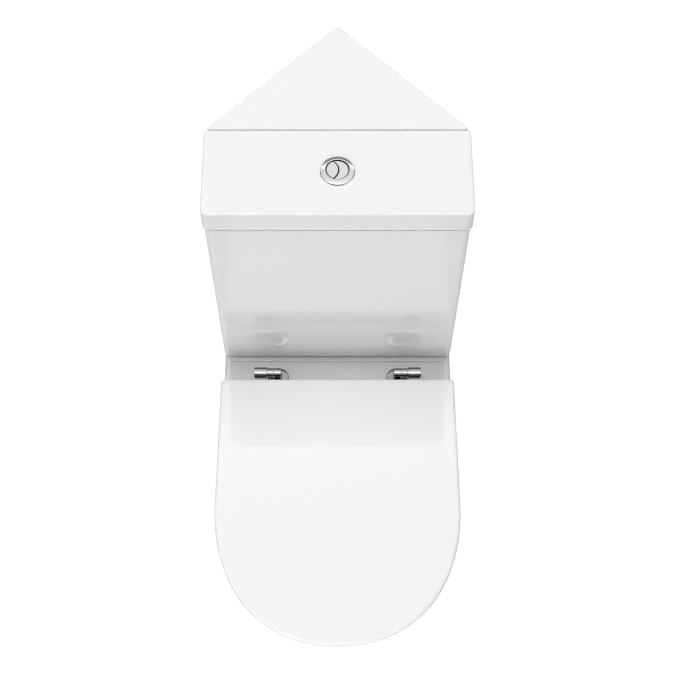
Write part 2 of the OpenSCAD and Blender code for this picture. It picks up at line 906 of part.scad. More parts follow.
module flush_rocker() {
  color("orange")
  at_valve(0) translate([rocker_x, 0, rocker_z])
  difference() {
    union() {
      rod_y(5, -rocker_w / 2, rocker_w / 2);
      block([-rocker_inner - 4, -rocker_w / 2, 2], [rocker_outer, rocker_w / 2, rocker_top]);
    }
    rod_y(rocker_pin_r + fit, -rocker_w, rocker_w);
  }
}

module rocker_pin() {
  color("silver")
  at_valve(0) translate([rocker_x, 0, rocker_z]) rod_y(rocker_pin_r, -rocker_w, rocker_w);
}

// ---------------------------------------------------------------- button

bezel_floor_t = 4;
bezel_floor_z = height - bezel_barrel_l;
button_under_z = height - 13;
button_top_z = height + bezel_h - 1.5;
button_gap = 0.4;
bezel_bore_r = button_r + button_gap;
spring_z = bezel_floor_z + bezel_floor_t;
spring_turns = 5;

module button_bezel() {
  color("silver")
  at_valve(0)
  difference() {
    rotate_extrude()
      polygon([
        [0, bezel_floor_z], [bezel_barrel_r, bezel_floor_z], [bezel_barrel_r, height], [bezel_r, height],
        [bezel_r, height + 0.8], [bezel_r - 1.5, height + 2.5], [bezel_r - 4, height + bezel_h - 0.5],
        [bezel_r - 5.5, height + bezel_h], [bezel_bore_r + 0.6, height + bezel_h],
        [bezel_bore_r, height + bezel_h - 0.6], [bezel_bore_r, spring_z], [0, spring_z]
      ]);
    for (x = [half_rod_x, full_rod_x])
      translate([x, 0, bezel_floor_z - over]) cylinder(r = rod_r + slide_gap, h = bezel_floor_t + 2 * over);
  }
}

module bezel_locknut() {
  nut_h = 9;
  color("whitesmoke")
  at_valve(height - lid_top_t - nut_h)
  difference() {
    cylinder(r = bezel_barrel_r + 9, h = nut_h, $fn = 6);
    translate([0, 0, -over]) cylinder(r = bezel_barrel_r + fit, h = nut_h + 2 * over);
  }
}

module half_button() {
  color("silver")
  at_valve(button_under_z) linear_extrude(button_top_z - button_under_z) intersection() {
    circle(r = button_r);
    translate([-split_x, 0]) circle(r = split_r);
  }
}

module full_button() {
  color("silver")
  at_valve(button_under_z) linear_extrude(button_top_z - button_under_z) difference() {
    circle(r = button_r);
    translate([-split_x, 0]) circle(r = split_r + button_gap);
  }
}

module push_rod(x, end_z) {
  at_valve(0) translate([x, 0, 0]) {
    translate([0, 0, end_z + rod_r]) cylinder(r = rod_r, h = button_under_z - end_z - rod_r);
    translate([0, 0, end_z + rod_r]) sphere(r = rod_r);
  }
}

module half_push_rod() {
  color("lightgray") push_rod(half_rod_x, tower_top_z + button_travel + 3);
}

module full_push_rod() {
  color("lightgray") push_rod(full_rod_x, rod_end_z);
}

module button_spring(x) {
  sides = 6;
  per_turn = 12;
  low = spring_z + spring_wire / 2 + 0.3;
  high = button_under_z - spring_wire / 2 - 0.3;
  steps = spring_turns * per_turn;
  at_valve(0) translate([x, 0, 0])
  loft([
    for (i = [0 : steps])
      let (a = 360 * i / per_turn, z = mix(low, high, i / steps))
      [
        for (k = [0 : sides - 1])
          let (b = 360 * k / sides, r = spring_r + spring_wire / 2 * cos(b))
          [r * cos(a), r * sin(a), z - spring_wire / 2 * sin(b)]
      ]
  ]);
}

module half_button_spring() {
  color("silver") button_spring(half_rod_x);
}

module full_button_spring() {
  color("silver") button_spring(full_rod_x);
}

// ---------------------------------------------------------------- fill valve

groove_l = 2;
fill_washer_t = 3;
fill_flange_r = 20;
fill_flange_t = 6;
riser_r = 10;
fill_head_r = 14;
fill_head_h = 34;
fill_top_z = floor_z + fill_h;
fill_head_z = fill_top_z - fill_head_h;
float_top_z = fill_head_z - 10;
arm_pivot_x = -20;
arm_pivot_z = fill_top_z - 10;
link_x = arm_pivot_x - 24;
float_pin_r = 1.5;
float_arm_w = 6;
float_arm_t = 4;

module at_fill(z) {
  translate([0, fill_y, z]) children();
}

module fill_valve() {
  ear_t = 3;
  color("whitesmoke")
  at_fill(0)
  difference() {
    union() {
      translate([0, 0, cistern_z - shank_l]) cylinder(r = shank_r, h = shank_l + cistern_floor + fill_washer_t + 1);
      translate([0, 0, floor_z + fill_washer_t]) cylinder(r = fill_flange_r, h = fill_flange_t);
      translate([0, 0, floor_z + fill_washer_t]) cylinder(r = riser_r, h = fill_top_z - floor_z - fill_washer_t - 1);
      translate([0, 0, fill_head_z]) cylinder(r = fill_head_r, h = fill_head_h);
      for (side = [-1, 1])
        translate([0, side * (float_arm_w / 2 + slide_gap + ear_t / 2), 0])
          block([arm_pivot_x - 4, -ear_t / 2, arm_pivot_z - 5], [0, ear_t / 2, arm_pivot_z + 5]);
    }
    translate([0, 0, cistern_z - shank_l - over]) cylinder(r = shank_r - 4, h = shank_l + fill_h - fill_head_h);
    translate([0, 0, cistern_z - shank_l + hose_l]) ring_of(shank_r + over, shank_r - 0.8, groove_l);
    translate([arm_pivot_x, 0, arm_pivot_z]) rod_y(float_pin_r + fit, -float_arm_w - over, float_arm_w + over);
  }
}

module fill_washer() {
  color("dimgray")
  at_fill(floor_z) ring_of(fill_flange_r - 1, shank_r + fit, fill_washer_t);
}

module fill_backnut() {
  nut_h = 8;
  color("whitesmoke")
  at_fill(cistern_z - nut_h)
  difference() {
    cylinder(r = shank_r + 6, h = nut_h, $fn = 6);
    translate([0, 0, -over]) cylinder(r = shank_r + fit, h = nut_h + 2 * over);
  }
}

module float() {
  color("gainsboro")
  at_fill(0) {
    difference() {
      union() {
        translate([0, 0, float_top_z - float_h]) cylinder(r = float_r, h = float_h);
        block([link_x - 4, -4, float_top_z - 5], [-float_r + 3, 4, float_top_z]);
      }
      translate([0, 0, float_top_z - float_h - over]) cylinder(r = riser_r + slide_gap, h = float_h + 2 * over);
    }
    translate([link_x, 0, float_top_z - 2]) {
      link_h = arm_pivot_z - float_arm_t / 2 - 0.4 - rod_r - float_top_z + 2;
      cylinder(r = rod_r, h = link_h);
      translate([0, 0, link_h]) sphere(r = rod_r);
    }
  }
}

module float_arm() {
  color("gainsboro")
  at_fill(0) translate([arm_pivot_x, 0, arm_pivot_z])
  difference() {
    union() {
      rod_y(3.5, -float_arm_w / 2, float_arm_w / 2);
      block([link_x - arm_pivot_x - 5, -float_arm_w / 2, -float_arm_t / 2], [4.5, float_arm_w / 2, float_arm_t / 2]);
    }
    rod_y(float_pin_r + fit, -float_arm_w, float_arm_w);
  }
}

module float_arm_pin() {
  color("silver")
  at_fill(0) translate([arm_pivot_x, 0, arm_pivot_z]) rod_y(float_pin_r, -float_arm_w - 0.5, float_arm_w + 0.5);
}

// ---------------------------------------------------------------- hinges

// Children drawn with the hinge axis as their X axis, on both sides
module at_hinges() {
  both_sides() translate([0, axis_y, axis_z]) children();
}

module on_deck() {
  both_sides() translate([hinge_x, axis_y, deck_h]) children();
}

module hinge_posts() {
  end_round = 3;
  steps = 4;
  inner_x = hinge_x - head_w / 2;
  stem_r = stud_r + 2;
  color("silver")
  difference() {
    union() {
      on_deck() {
        rotate_extrude()
          polygon([
            [0, 0], [rosette_r, 0], [rosette_r, 1],
            for (i = [0 : steps])
              let (a = 90 * i / steps)
              [mix(rosette_r, stem_r, sin(a) * 0.9), 1 + (rosette_h - 1) * sin(a)],
            [0, rosette_h]
          ]);
        cylinder(r = stem_r, h = hinge_h);
      }
      at_hinges()
        translate([inner_x, 0, 0]) rotate([0, 90, 0])
          rotate_extrude()
            polygon([
              [0, 0],
              for (i = [0 : steps])
                let (a = 90 * i / steps)
                [knuckle_r - end_round * (1 - sin(a)), end_round * (1 - cos(a))],
              [knuckle_r, head_w], [0, head_w]
            ]);
    }
    at_hinges() rod_x(pin_r + fit, inner_x + pin_inset, head_end_x + over);
    on_deck() translate([0, 0, -over]) cylinder(r = stud_r + fit, h = hinge_h - knuckle_r + over);
  }
}

module hinge_studs() {
  color("silver")
  on_deck() translate([0, 0, -stud_l]) cylinder(r = stud_r, h = stud_l + hinge_h - knuckle_r - 0.5);
}

bush_h = 10;
bush_lip = 8;        // the neck's reach into the deck's hole
bush_wall = 7;
bush_neck = 2.5;
hinge_nut_h = 12;

module hinge_bushes() {
  color("dimgray")
  on_deck() translate([0, 0, -pan_wall])
  difference() {
    union() {
      translate([0, 0, -bush_h]) cylinder(r = stud_r + bush_wall, h = bush_h);
      translate([0, 0, -over]) cylinder(r = stud_r + bush_neck, h = bush_lip + over);
    }
    translate([0, 0, -bush_h - over]) cylinder(r = stud_r + fit, h = bush_h + bush_lip + 2 * over);
  }
}

module hinge_wing_nuts() {
  color("gainsboro")
  on_deck() translate([0, 0, -pan_wall - bush_h]) wing_nut(stud_r, hinge_nut_h);
}

module hinge_pins() {
  color("silver")
  at_hinges() rod_x(pin_r, hinge_x - head_w / 2 + pin_inset + side_gap, barrel_end_x - pin_inset - side_gap);
}

// The arm of a ring knuckle lies under the ring, the arm of a barrel under the lid's boss
knuckle_arm_l = 48;  // both reach this far under the seat from its rear edge
barrel_arm_l = 40;
arm_screw_inset = 10;
knuckle_screw_l = 9; // beyond the arm
barrel_screw_l = 12;
knuckle_arm_z = ring_z - 1;
knuckle_arm_front_y = seat_rear_y - knuckle_arm_l;
barrel_arm_z = axis_z - barrel_r + 0.6;
barrel_arm_front_y = seat_rear_y - barrel_arm_l;
arm_screw_r = 2;
arm_head_r = 4;
arm_head_h = 2.5;
knuckle_screw_y = knuckle_arm_front_y + arm_screw_inset;
barrel_screw_y = barrel_arm_front_y + arm_screw_inset;
knuckle_mid_x = (knuckle_x + knuckle_end_x) / 2;
barrel_mid_x = (barrel_x + barrel_end_x) / 2;
boss_l = 24;

module ring_knuckles() {
  color("silver")
  difference() {
    union() {
      at_hinges() rod_x(knuckle_r, knuckle_x, knuckle_end_x);
      both_sides() {
        block([knuckle_x + 0.3, knuckle_arm_front_y, knuckle_arm_z], [knuckle_end_x - 0.3, axis_y, knuckle_arm_z + arm_t]);
        block([knuckle_x + 0.3, axis_y - knuckle_r + 0.5, knuckle_arm_z], [knuckle_end_x - 0.3, axis_y, axis_z]);
      }
    }
    at_hinges() rod_x(pin_r + fit, knuckle_x - over, knuckle_end_x + over);
    both_sides() translate([knuckle_mid_x, knuckle_screw_y, knuckle_arm_z - over])
      cylinder(r = arm_screw_r + fit, h = arm_t + 2 * over);
  }
}

// A screw driven upwards through an arm, its head under z = 0
module arm_screw(l) {
  translate([0, 0, -arm_head_h]) cylinder(r = arm_head_r, h = arm_head_h);
  translate([0, 0, -over]) cylinder(r = arm_screw_r, h = l + over);
}

module knuckle_screws() {
  color("silver")
  both_sides() translate([knuckle_mid_x, knuckle_screw_y, knuckle_arm_z]) arm_screw(arm_t + knuckle_screw_l);
}

module lid_barrels() {
  color("silver")
  difference() {
    union() {
      at_hinges() translate([barrel_x, 0, 0]) rotate([0, 90, 0])
        rotate_extrude()
          polygon([
            [0, 0], [barrel_r - 0.5, 0], [barrel_r, 0.5], [barrel_r, barrel_w - 1.5],
            [barrel_r - 1.5, barrel_w], [0, barrel_w]
          ]);
      both_sides() block(
        [barrel_x + 1, barrel_arm_front_y, barrel_arm_z],
        [barrel_end_x - 1.5, axis_y - 2, barrel_arm_z + arm_t]
      );
    }
    at_hinges() rod_x(pin_r + fit, barrel_x - over, barrel_end_x - pin_inset);
    both_sides() translate([barrel_mid_x, barrel_screw_y, barrel_arm_z - over])
      cylinder(r = arm_screw_r + fit, h = arm_t + 2 * over);
  }
}

module barrel_screws() {
  color("silver")
  both_sides() translate([barrel_mid_x, barrel_screw_y, barrel_arm_z]) arm_screw(arm_t + barrel_screw_l);
}

// ---------------------------------------------------------------- seat ring and lid

seat_steps = 20;
seat_corner_r = 6;
ring_inset = seat_lid_wall + ring_gap;
ring_front_y = front_y + ring_inset;
ring_rear_y = seat_rear_y - ring_inset;
open_front_y = ring_front_y + ring_front_band;
open_rear_y = ring_rear_y - ring_rear_band;
notch_gap = 0.8;

function seat_plan(inset) = tongue(
  seat_w / 2 - inset, front_y + inset, front_y + seat_nose,
  seat_rear_w / 2 - inset, seat_rear_y - inset, max(seat_corner_r - inset, 1.5), seat_steps
);

function opening_plan(outset) =
  let (front = open_front_y - outset, rear = open_rear_y + outset, hw = ring_open_w / 2 + outset)
  tongue(hw, front, mix(front, rear, 0.6), hw, rear, 60 + outset, seat_steps);

// A point halfway between the bowl and the outside of the rim, t degrees round from the nose
function rim_point(t) =
  let (
    hw = (pan_w + bowl_w) / 4,
    front = pan_front_y + bowl_front_band / 2,
    mid = pan_mid_y
  )
  [hw * pow(sin(t), 2 / nose_power), mid - (mid - front) * pow(cos(t), 2 / nose_power)];

bumper_places = [rim_point(48), [rim_point(90)[0], seat_rear_y - 62]];

module at_bumpers(z) {
  both_sides() for (p = bumper_places) translate([p[0], p[1], z]) children();
}

module seat_ring() {
  steps = 4;
  color("white")
  difference() {
    union() {
      difference() {
        loft(concat(
          [at_height(seat_plan(ring_inset + 1), ring_z), at_height(seat_plan(ring_inset), ring_z + 1)],
          [
            for (i = [0 : steps])
              let (a = 90 * i / steps)
              at_height(
                seat_plan(ring_inset + ring_edge * (1 - cos(a))),
                ring_top_z - ring_edge + ring_edge * sin(a)
              )
          ]
        ));
        translate([0, 0, ring_z - over])
          linear_extrude(ring_h - ring_wall + over)
            difference() {
              polygon(seat_plan(ring_inset + ring_wall));
              polygon(opening_plan(ring_wall));
            }
      }
      at_bumpers(ring_z) cylinder(r = ring_bumper_r + 2, h = ring_h - 2);
      both_sides() block(
        [knuckle_x - 1, knuckle_arm_front_y - 2, ring_z + 1],
        [knuckle_end_x + 0.4, ring_rear_y - 1, ring_top_z - 2]
      );
    }
    loft(concat(
      [at_height(opening_plan(0), ring_z - over)],
      [
        for (i = [0 : steps])
          let (a = 90 * i / steps)
          at_height(opening_plan(ring_edge * (1 - cos(a))), ring_top_z - ring_edge + ring_edge * sin(a))
      ],
      [at_height(opening_plan(ring_edge), ring_top_z + over)]
    ));
    both_sides() {
      // Notch for the lid's arm and boss
      block(
        [barrel_x + 1 - notch_gap, barrel_arm_front_y - 5, ring_z - over],
        [barrel_end_x + notch_gap, seat_rear_y + over, ring_top_z + over]
      );
      // Bed of the knuckle's arm
      block(
        [knuckle_x - notch_gap, knuckle_arm_front_y - notch_gap, ring_z - over],
        [knuckle_end_x + notch_gap, seat_rear_y + over, knuckle_arm_z + arm_t]
      );
      translate([knuckle_mid_x, knuckle_screw_y, ring_z]) cylinder(r = arm_screw_r + fit, h = arm_t + knuckle_screw_l);
    }
  }
}

module ring_bumpers() {
  color("gainsboro") at_bumpers(deck_h) cylinder(r = ring_bumper_r, h = ring_lift);
}

module seat_lid() {
  steps = 4;
  skirt_z = deck_h + skirt_lift;
  pocket_z = seat_top_z - seat_lid_wall;
  color("white")
  difference() {
    union() {
      difference() {
        loft(concat(
          [at_height(seat_plan(0), skirt_z)],
          [
            for (i = [0 : steps])
              let (a = 90 * i / steps)
              at_height(
                seat_plan(seat_lid_edge * (1 - cos(a))),
                seat_top_z - seat_lid_edge + seat_lid_edge * sin(a)
              )
          ]
        ));
        translate([0, 0, skirt_z - over])
          linear_extrude(pocket_z - skirt_z + over) polygon(seat_plan(seat_lid_wall));
      }
      both_sides() block(
        [barrel_x + 1, barrel_arm_front_y, barrel_arm_z + arm_t],
        [barrel_end_x - 1.5, barrel_arm_front_y + boss_l, pocket_z + over]
      );
    }
    // Room behind the ring for the hinge arms
    block(
      [-barrel_end_x - 3, seat_rear_y - 2 * seat_lid_wall, skirt_z - over],
      [barrel_end_x + 3, seat_rear_y + over, ring_top_z + 1]
    );
    both_sides() translate([barrel_mid_x, barrel_screw_y, barrel_arm_z]) cylinder(r = arm_screw_r + fit, h = arm_t + barrel_screw_l + over);
  }
}

module lid_bumpers() {
  color("gainsboro")
  at_bumpers(ring_top_z) cylinder(r = lid_bumper_r, h = seat_top_z - seat_lid_wall - ring_top_z);
}

pan_deck();
pan_bowl();
pan_skirt();
floor_brackets();
side_screws();
screw_caps();
rest_pads();
flush_gasket();
cistern_bolts();
bolt_seals();
bolt_washers();
cistern_wing_nuts();
cistern();
cistern_lid();
corner_cover();
valve_washer();
valve_base();
valve_backnut();
valve_tower();
valve_core();
core_seal();
flush_rocker();
rocker_pin();
button_bezel();
bezel_locknut();
half_button();
full_button();
half_push_rod();
full_push_rod();
half_button_spring();
full_button_spring();
fill_valve();
fill_washer();
fill_backnut();
float();
float_arm();
float_arm_pin();
hinge_posts();
hinge_studs();
hinge_bushes();
hinge_wing_nuts();
hinge_pins();
ring_knuckles();
knuckle_screws();
lid_barrels();
barrel_screws();
seat_ring();
ring_bumpers();
seat_lid();
lid_bumpers();
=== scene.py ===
"""A corner toilet: fine meshes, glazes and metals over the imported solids, in plain studio light.

Lengths here are millimetres unless a name says otherwise; mesh_object() and box() turn them into metres.
"""

import json
import math

import bmesh
import bpy
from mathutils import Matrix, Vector


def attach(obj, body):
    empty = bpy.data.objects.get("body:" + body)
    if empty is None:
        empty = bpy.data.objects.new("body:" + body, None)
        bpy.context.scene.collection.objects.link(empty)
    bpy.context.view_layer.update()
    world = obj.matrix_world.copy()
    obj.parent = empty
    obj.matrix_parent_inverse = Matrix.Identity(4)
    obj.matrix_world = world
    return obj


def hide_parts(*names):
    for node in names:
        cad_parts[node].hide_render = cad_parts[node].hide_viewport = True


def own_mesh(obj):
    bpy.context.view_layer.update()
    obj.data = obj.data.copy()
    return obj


MM = 0.001
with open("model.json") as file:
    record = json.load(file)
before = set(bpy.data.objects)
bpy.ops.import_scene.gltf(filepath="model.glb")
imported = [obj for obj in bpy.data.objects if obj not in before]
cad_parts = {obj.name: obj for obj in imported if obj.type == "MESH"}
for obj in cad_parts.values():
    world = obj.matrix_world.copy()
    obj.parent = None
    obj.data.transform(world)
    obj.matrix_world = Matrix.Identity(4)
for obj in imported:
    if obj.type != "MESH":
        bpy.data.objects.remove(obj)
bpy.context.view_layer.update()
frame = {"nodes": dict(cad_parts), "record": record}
record = frame["record"]
body_of = {node: body for body, nodes in record["behaviour"]["bodies"].items() for node in nodes}
slot_of = {part["node"]: part["material_slot"] for part in record["subparts"]}

# ---------------- sizes, as in the CAD source

HEIGHT = 808
DECK = 398

SEAT_W, SEAT_REAR_W, SEAT_L = 360, 356, 420
SEAT_NOSE, NOSE_POWER, NOSE_LEAN, LEAN_END = 215.7, 2.2, 0.36, 80
SEAT_EDGE, SEAT_WALL, SEAT_CORNER = 5, 4.5, 6
SEAT_TOP, SKIRT = DECK + 45, DECK + 7
RING_LOW, RING_TOP = DECK + 8, DECK + 33
RING_INSET, RING_EDGE, RING_WALL = 7.7, 8, 5
RING_OPEN_W, RING_FRONT_BAND, RING_REAR_BAND = 230, 62, 72

LID_W, LID_D, LID_H = 370, 141.1, 39
LID_TOP_T, LID_WALL, LID_EDGE, SEAM = 12, 11, 3, 0.9
CISTERN_TOP_W, CISTERN_BASE_W, CISTERN_INSET = 364.8, 354.2, 1.6
CISTERN_WALL, CISTERN_FLOOR = 9, 10
FRONT_R, SIDE_R, APEX_R, PROUD = 10, 18, 6, 0.5

PAN_W, FOOT_W, PAN_WALL, RIM_R = 353, 224, 12, 9
PAN_SETBACK, FOOT_SETBACK, FOOT_BACK_INSET = 8, 175, 20
FLARE_H, FOOT_CORNER, PAN_CORNER = 350, 40, 60
BOWL_W, BOWL_L, BOWL_D, SUMP_W = 250, 288, 248, 84
TRAP_R, CHANNEL_R = 36, 20
OUTLET_H, OUTLET_R, OUTLET_WALL, OUTLET_L, SHOULDER = 180, 51, 10, 40, 4
RECESS_R, RECESS_D, BOSS_H, INLET_R = 50, 28, 24, 27
BOLT_X, BOLT_R = 85, 4
SIDE_SCREW_H, SIDE_SCREW_R = 35, 3

# Along the depth: the hinge axis and the cistern lid behind the seat, the rest from that lid's front
AXIS_BEHIND, LID_BEHIND = 23.8, 57.1
FILL_BEHIND, PAN_BEHIND, FLOOR_SCREW_AHEAD, PLATFORM_AHEAD = 222, 148, 86, 4.8

DIAGONAL = math.sqrt(2)
OVERALL_D = SEAT_L + LID_BEHIND + LID_D + LID_W / 2 + PROUD * DIAGONAL - APEX_R * (DIAGONAL - 1)
FRONT_Y = -OVERALL_D / 2
SEAT_REAR_Y = FRONT_Y + SEAT_L
AXIS_Y = SEAT_REAR_Y + AXIS_BEHIND
LID_FRONT_Y = SEAT_REAR_Y + LID_BEHIND
SEAM_Y = LID_FRONT_Y + LID_D
VALVE_Y = LID_FRONT_Y + LID_D / 2
FILL_Y = LID_FRONT_Y + FILL_BEHIND
PAN_FRONT_Y = FRONT_Y + PAN_SETBACK
PAN_BACK_Y = LID_FRONT_Y + PAN_BEHIND
FLOOR_SCREW_Y = LID_FRONT_Y - FLOOR_SCREW_AHEAD
COVER_SUM = SEAM_Y + LID_W / 2
WALL_SUM = COVER_SUM + PROUD * DIAGONAL

AXIS_Z = DECK + 20
PLATFORM_Z = DECK + 4
CISTERN_Z = PLATFORM_Z + 3
FLOOR_Z = CISTERN_Z + CISTERN_FLOOR
RIM_Z = HEIGHT - LID_H

HINGE_X, HEAD_W, KNUCKLE_W, BARREL_W = 92.5, 12.4, 9.6, 20.1
KNUCKLE_R, BARREL_R, STUD_R, ROSETTE_R = 6.25, 7.65, 4, 17
KNUCKLE_X = HINGE_X + HEAD_W / 2 + 0.3
BARREL_X = KNUCKLE_X + KNUCKLE_W + 0.3
BARREL_END_X = BARREL_X + BARREL_W

VALVE_AT, FILL_AT, BOLT_AT = (0, VALVE_Y, 0), (0, FILL_Y, 0), (BOLT_X, VALVE_Y, 0)
STUD_AT, HINGE_AT = (HINGE_X, AXIS_Y, 0), (0, AXIS_Y, AXIS_Z)
OUTLET_AT, SIDE_SCREW_AT = (0, 0, OUTLET_H), (0, FLOOR_SCREW_Y, SIDE_SCREW_H)

# The play of a pin in its bore, and how far a cutter reaches past what it cuts
FIT, OVER = 0.05, 1


# ---------------- meshes

def mix(a, b, t):
    return a + (b - a) * t


def turns(steps):
    """The angles of a full turn in equal steps."""
    return [2 * math.pi * k / steps for k in range(steps)]


def placed(name, data):
    obj = bpy.data.objects.new(name, data)
    bpy.context.scene.collection.objects.link(obj)
    return obj


def object_from(built, name):
    """A working mesh as an object of its own."""
    mesh = bpy.data.meshes.new(name)
    built.to_mesh(mesh)
    built.free()
    return placed(name, mesh)


def mesh_object(name, verts, faces):
    raw = bpy.data.meshes.new(name)
    raw.from_pydata([Vector(v) * MM for v in verts], [], faces)
    built = bmesh.new()
    built.from_mesh(raw)
    bpy.data.meshes.remove(raw)
    bmesh.ops.remove_doubles(built, verts=built.verts, dist=1e-6)
    bmesh.ops.dissolve_degenerate(built, edges=built.edges, dist=1e-7)
    bmesh.ops.recalc_face_normals(built, faces=built.faces)
    return object_from(built, name)


def loft(name, sections, ring=False):
    """A skin through sections that all have the same number of points, with a cap at each end.

    The sections of a ring close on each other, and it has no caps."""
    n = len(sections[0])
    verts = [point for section in sections for point in section]
    faces = [] if ring else [range(n), range(len(verts) - n, len(verts))]
    for s in range(len(sections) - (not ring)):
        low, high = s * n, (s + 1) % len(sections) * n
        faces += [(low + i, low + (i + 1) % n, high + (i + 1) % n, high + i) for i in range(n)]
    return mesh_object(name, verts, faces)


def revolve(name, profile, at=(0, 0, 0), axis="Z", steps=64, ring=False, thread=None):
    """A profile of (radius, height) turned about an axis; a ring's profile closes on itself.

    A thread is (low, high, pitch, depth): the wall between those heights gets a helical groove."""
    sections = []
    for radius, height, grooved in threaded_profile(profile, thread):
        section = []
        for angle in turns(steps):
            r = radius - groove_depth(height, angle, thread) if grooved else radius
            across, along = r * math.cos(angle), r * math.sin(angle)
            point = {
                "X": (height, across, along),
                "Y": (along, height, across),
                "Z": (across, along, height),
            }[axis]
            section.append(Vector(point) + Vector(at))
        sections.append(section)
    return loft(name, sections, ring)


def threaded_profile(profile, thread):
    """The profile as (radius, height, grooved), with grooved rows added all along the threaded wall."""
    dense = [(*profile[0], False)]
    for (r0, h0), (r1, h1) in zip(profile, profile[1:]):
        if thread and r0 == r1 and {h0, h1} == set(thread[:2]):
            rows = max(2, round(4 * abs(h1 - h0) / thread[2]))
            dense += [(r0, mix(h0, h1, i / rows), True) for i in range(1, rows)]
        dense.append((r1, h1, False))
    return dense


def groove_depth(height, angle, thread):
    _, _, pitch, depth = thread
    turn = (height / pitch - angle / (2 * math.pi)) % 1
    return depth * (1 - abs(2 * turn - 1))


def cylinder(name, r, low, high, at=(0, 0, 0), axis="Z", steps=48):
    return revolve(name, [(r, low), (r, high)], at, axis, steps)


def box(name, low, high, rounding=0):
    """A block between two corners, its edges rounded."""
    built = bmesh.new()
    bmesh.ops.create_cube(built, size=1)
    for vert in built.verts:
        vert.co = Vector([mix(l, h, c + 0.5) * MM for l, h, c in zip(low, high, vert.co)])
    if rounding:
        bmesh.ops.bevel(built, geom=built.edges[:], offset=rounding * MM, segments=3, profile=0.5, affect="EDGES")
    return object_from(built, name)


def around(at, count, low, high, rounding):
    """Equal blocks set round an upright axis."""
    blocks = []
    for angle in turns(count):
        block = box("block", low, high, rounding)
        block.rotation_euler.z = angle
        block.location = Vector(at) * MM
        blocks.append(block)
    bpy.context.view_layer.update()
    return blocks


def combined(obj, operation, *others):
    """The object after a boolean with each of the others, which are used up."""
    for other in others:
        boolean = obj.modifiers.new("boolean", "BOOLEAN")
        boolean.operation, boolean.object, boolean.solver = operation, other, "EXACT"
        # The tube of the trapway folds into itself at its tight bends
        boolean.use_self = other.name.startswith("trap")
    evaluated = obj.evaluated_get(bpy.context.evaluated_depsgraph_get())
    mesh = bpy.data.meshes.new_from_object(evaluated)
    obj.modifiers.clear()
    obj.data = mesh
    for other in others:
        bpy.data.objects.remove(other)
    return obj


def added(obj, *others):
    return combined(obj, "UNION", *others)


def cut(obj, *others):
    return combined(obj, "DIFFERENCE", *others)


def joined(name, *parts):
    """Several objects as one, without a boolean."""
    built = bmesh.new()
    for part in parts:
        built.from_mesh(part.data)
        bpy.data.objects.remove(part)
    return object_from(built, name)


def both_sides(obj):
    """The object and its mirror image across the middle, as one."""
    built = bmesh.new()
    built.from_mesh(obj.data)
    copy = bmesh.ops.duplicate(built, geom=built.verts[:] + built.edges[:] + built.faces[:])["geom"]
    for item in copy:
        if isinstance(item, bmesh.types.BMVert):
            item.co.x = -item.co.x
    bmesh.ops.reverse_faces(built, faces=[f for f in copy if isinstance(f, bmesh.types.BMFace)])
    built.to_mesh(obj.data)
    built.free()
    return obj


def dressed(obj, *nodes, sharp=35):
    """A finished piece: it stands for the nodes, rides on their body and takes their material."""
    obj.name = "fine_" + nodes[0]
    finish_surface(obj, slot_of[nodes[0]], sharp)
    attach(obj, body_of[nodes[0]])
    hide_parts(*nodes)
    return obj


def finish_surface(obj, slot, sharp):
    obj.data.materials.clear()
    obj.data.materials.append(materials[slot])
    obj.data.shade_smooth()
    obj.data.set_sharp_from_angle(angle=math.radians(sharp))
    obj.modifiers.new("normals", "WEIGHTED_NORMAL").keep_sharp = True


# ---------------- outlines, sections and profiles

def at_height(outline, z):
    return [(point[0], point[1], z) for point in outline]


def quarter(steps):
    """Pairs (sine, 1 - cosine) over a quarter turn, for the rounding of an edge."""
    return [(math.sin(a), 1 - math.cos(a)) for a in (math.pi / 2 * i / steps for i in range(steps + 1))]


def rounded_foot(section, low, r, steps, inset=0):
    """Sections up from a rounded lower edge; section(z, inset) gives each of them."""
    return [section(low + r * c, inset + r * (1 - s)) for s, c in quarter(steps)]


def rounded_top(section, top, r, steps=8, inset=0):
    """Sections up to a rounded upper edge."""
    return [section(top - r + r * s, inset + r * c) for s, c in quarter(steps)]


def wall(r, low, high, foot=0.4, top=0.4, steps=6):
    """The outside of a profile, rounded at foot and top; a single step makes a plain chamfer."""
    def section(z, inset):
        return r - inset, z

    return rounded_foot(section, low, foot, steps) + rounded_top(section, high, top, steps)


def nose_point(hw, front, mid, s, c):
    """A point of a curved nose between its tip and its flank, by a pair of quarter()."""
    power = 2 / NOSE_POWER
    return hw * s ** power, mix(mid, front, (1 - c) ** power)


def tongue(hw, front, mid, rear_hw, rear, r, steps=44, corner=12):
    """A curved nose, straight flanks and two round rear corners, from the tip round to the right."""
    right = [nose_point(hw, front, mid, s, c) for s, c in quarter(steps)]
    right += [(rear_hw - r * c, rear - r * (1 - s)) for s, c in quarter(corner)]
    return right + [(-x, y) for x, y in reversed(right[1:])]


def corners(points):
    """Each corner of a convex outline, with the way back, the way inwards and half its angle."""
    for i, point in enumerate(points):
        corner = Vector(point)
        back = (Vector(points[i - 1]) - corner).normalized()
        onward = (Vector(points[(i + 1) % len(points)]) - corner).normalized()
        yield corner, back, (back + onward).normalized(), math.acos(back.dot(onward)) / 2


def rounded(points, radii, steps=8):
    """A convex outline with an arc of its own radius at each corner."""
    outline = []
    for (corner, back, inwards, half), radius in zip(corners(points), radii):
        centre = corner + inwards * radius / math.sin(half)
        first = corner + back * radius / math.tan(half) - centre
        start, turn = math.atan2(first.y, first.x), math.pi - 2 * half
        for k in range(steps + 1):
            angle = start + turn * k / steps
            outline.append((centre.x + radius * math.cos(angle), centre.y + radius * math.sin(angle)))
    return outline


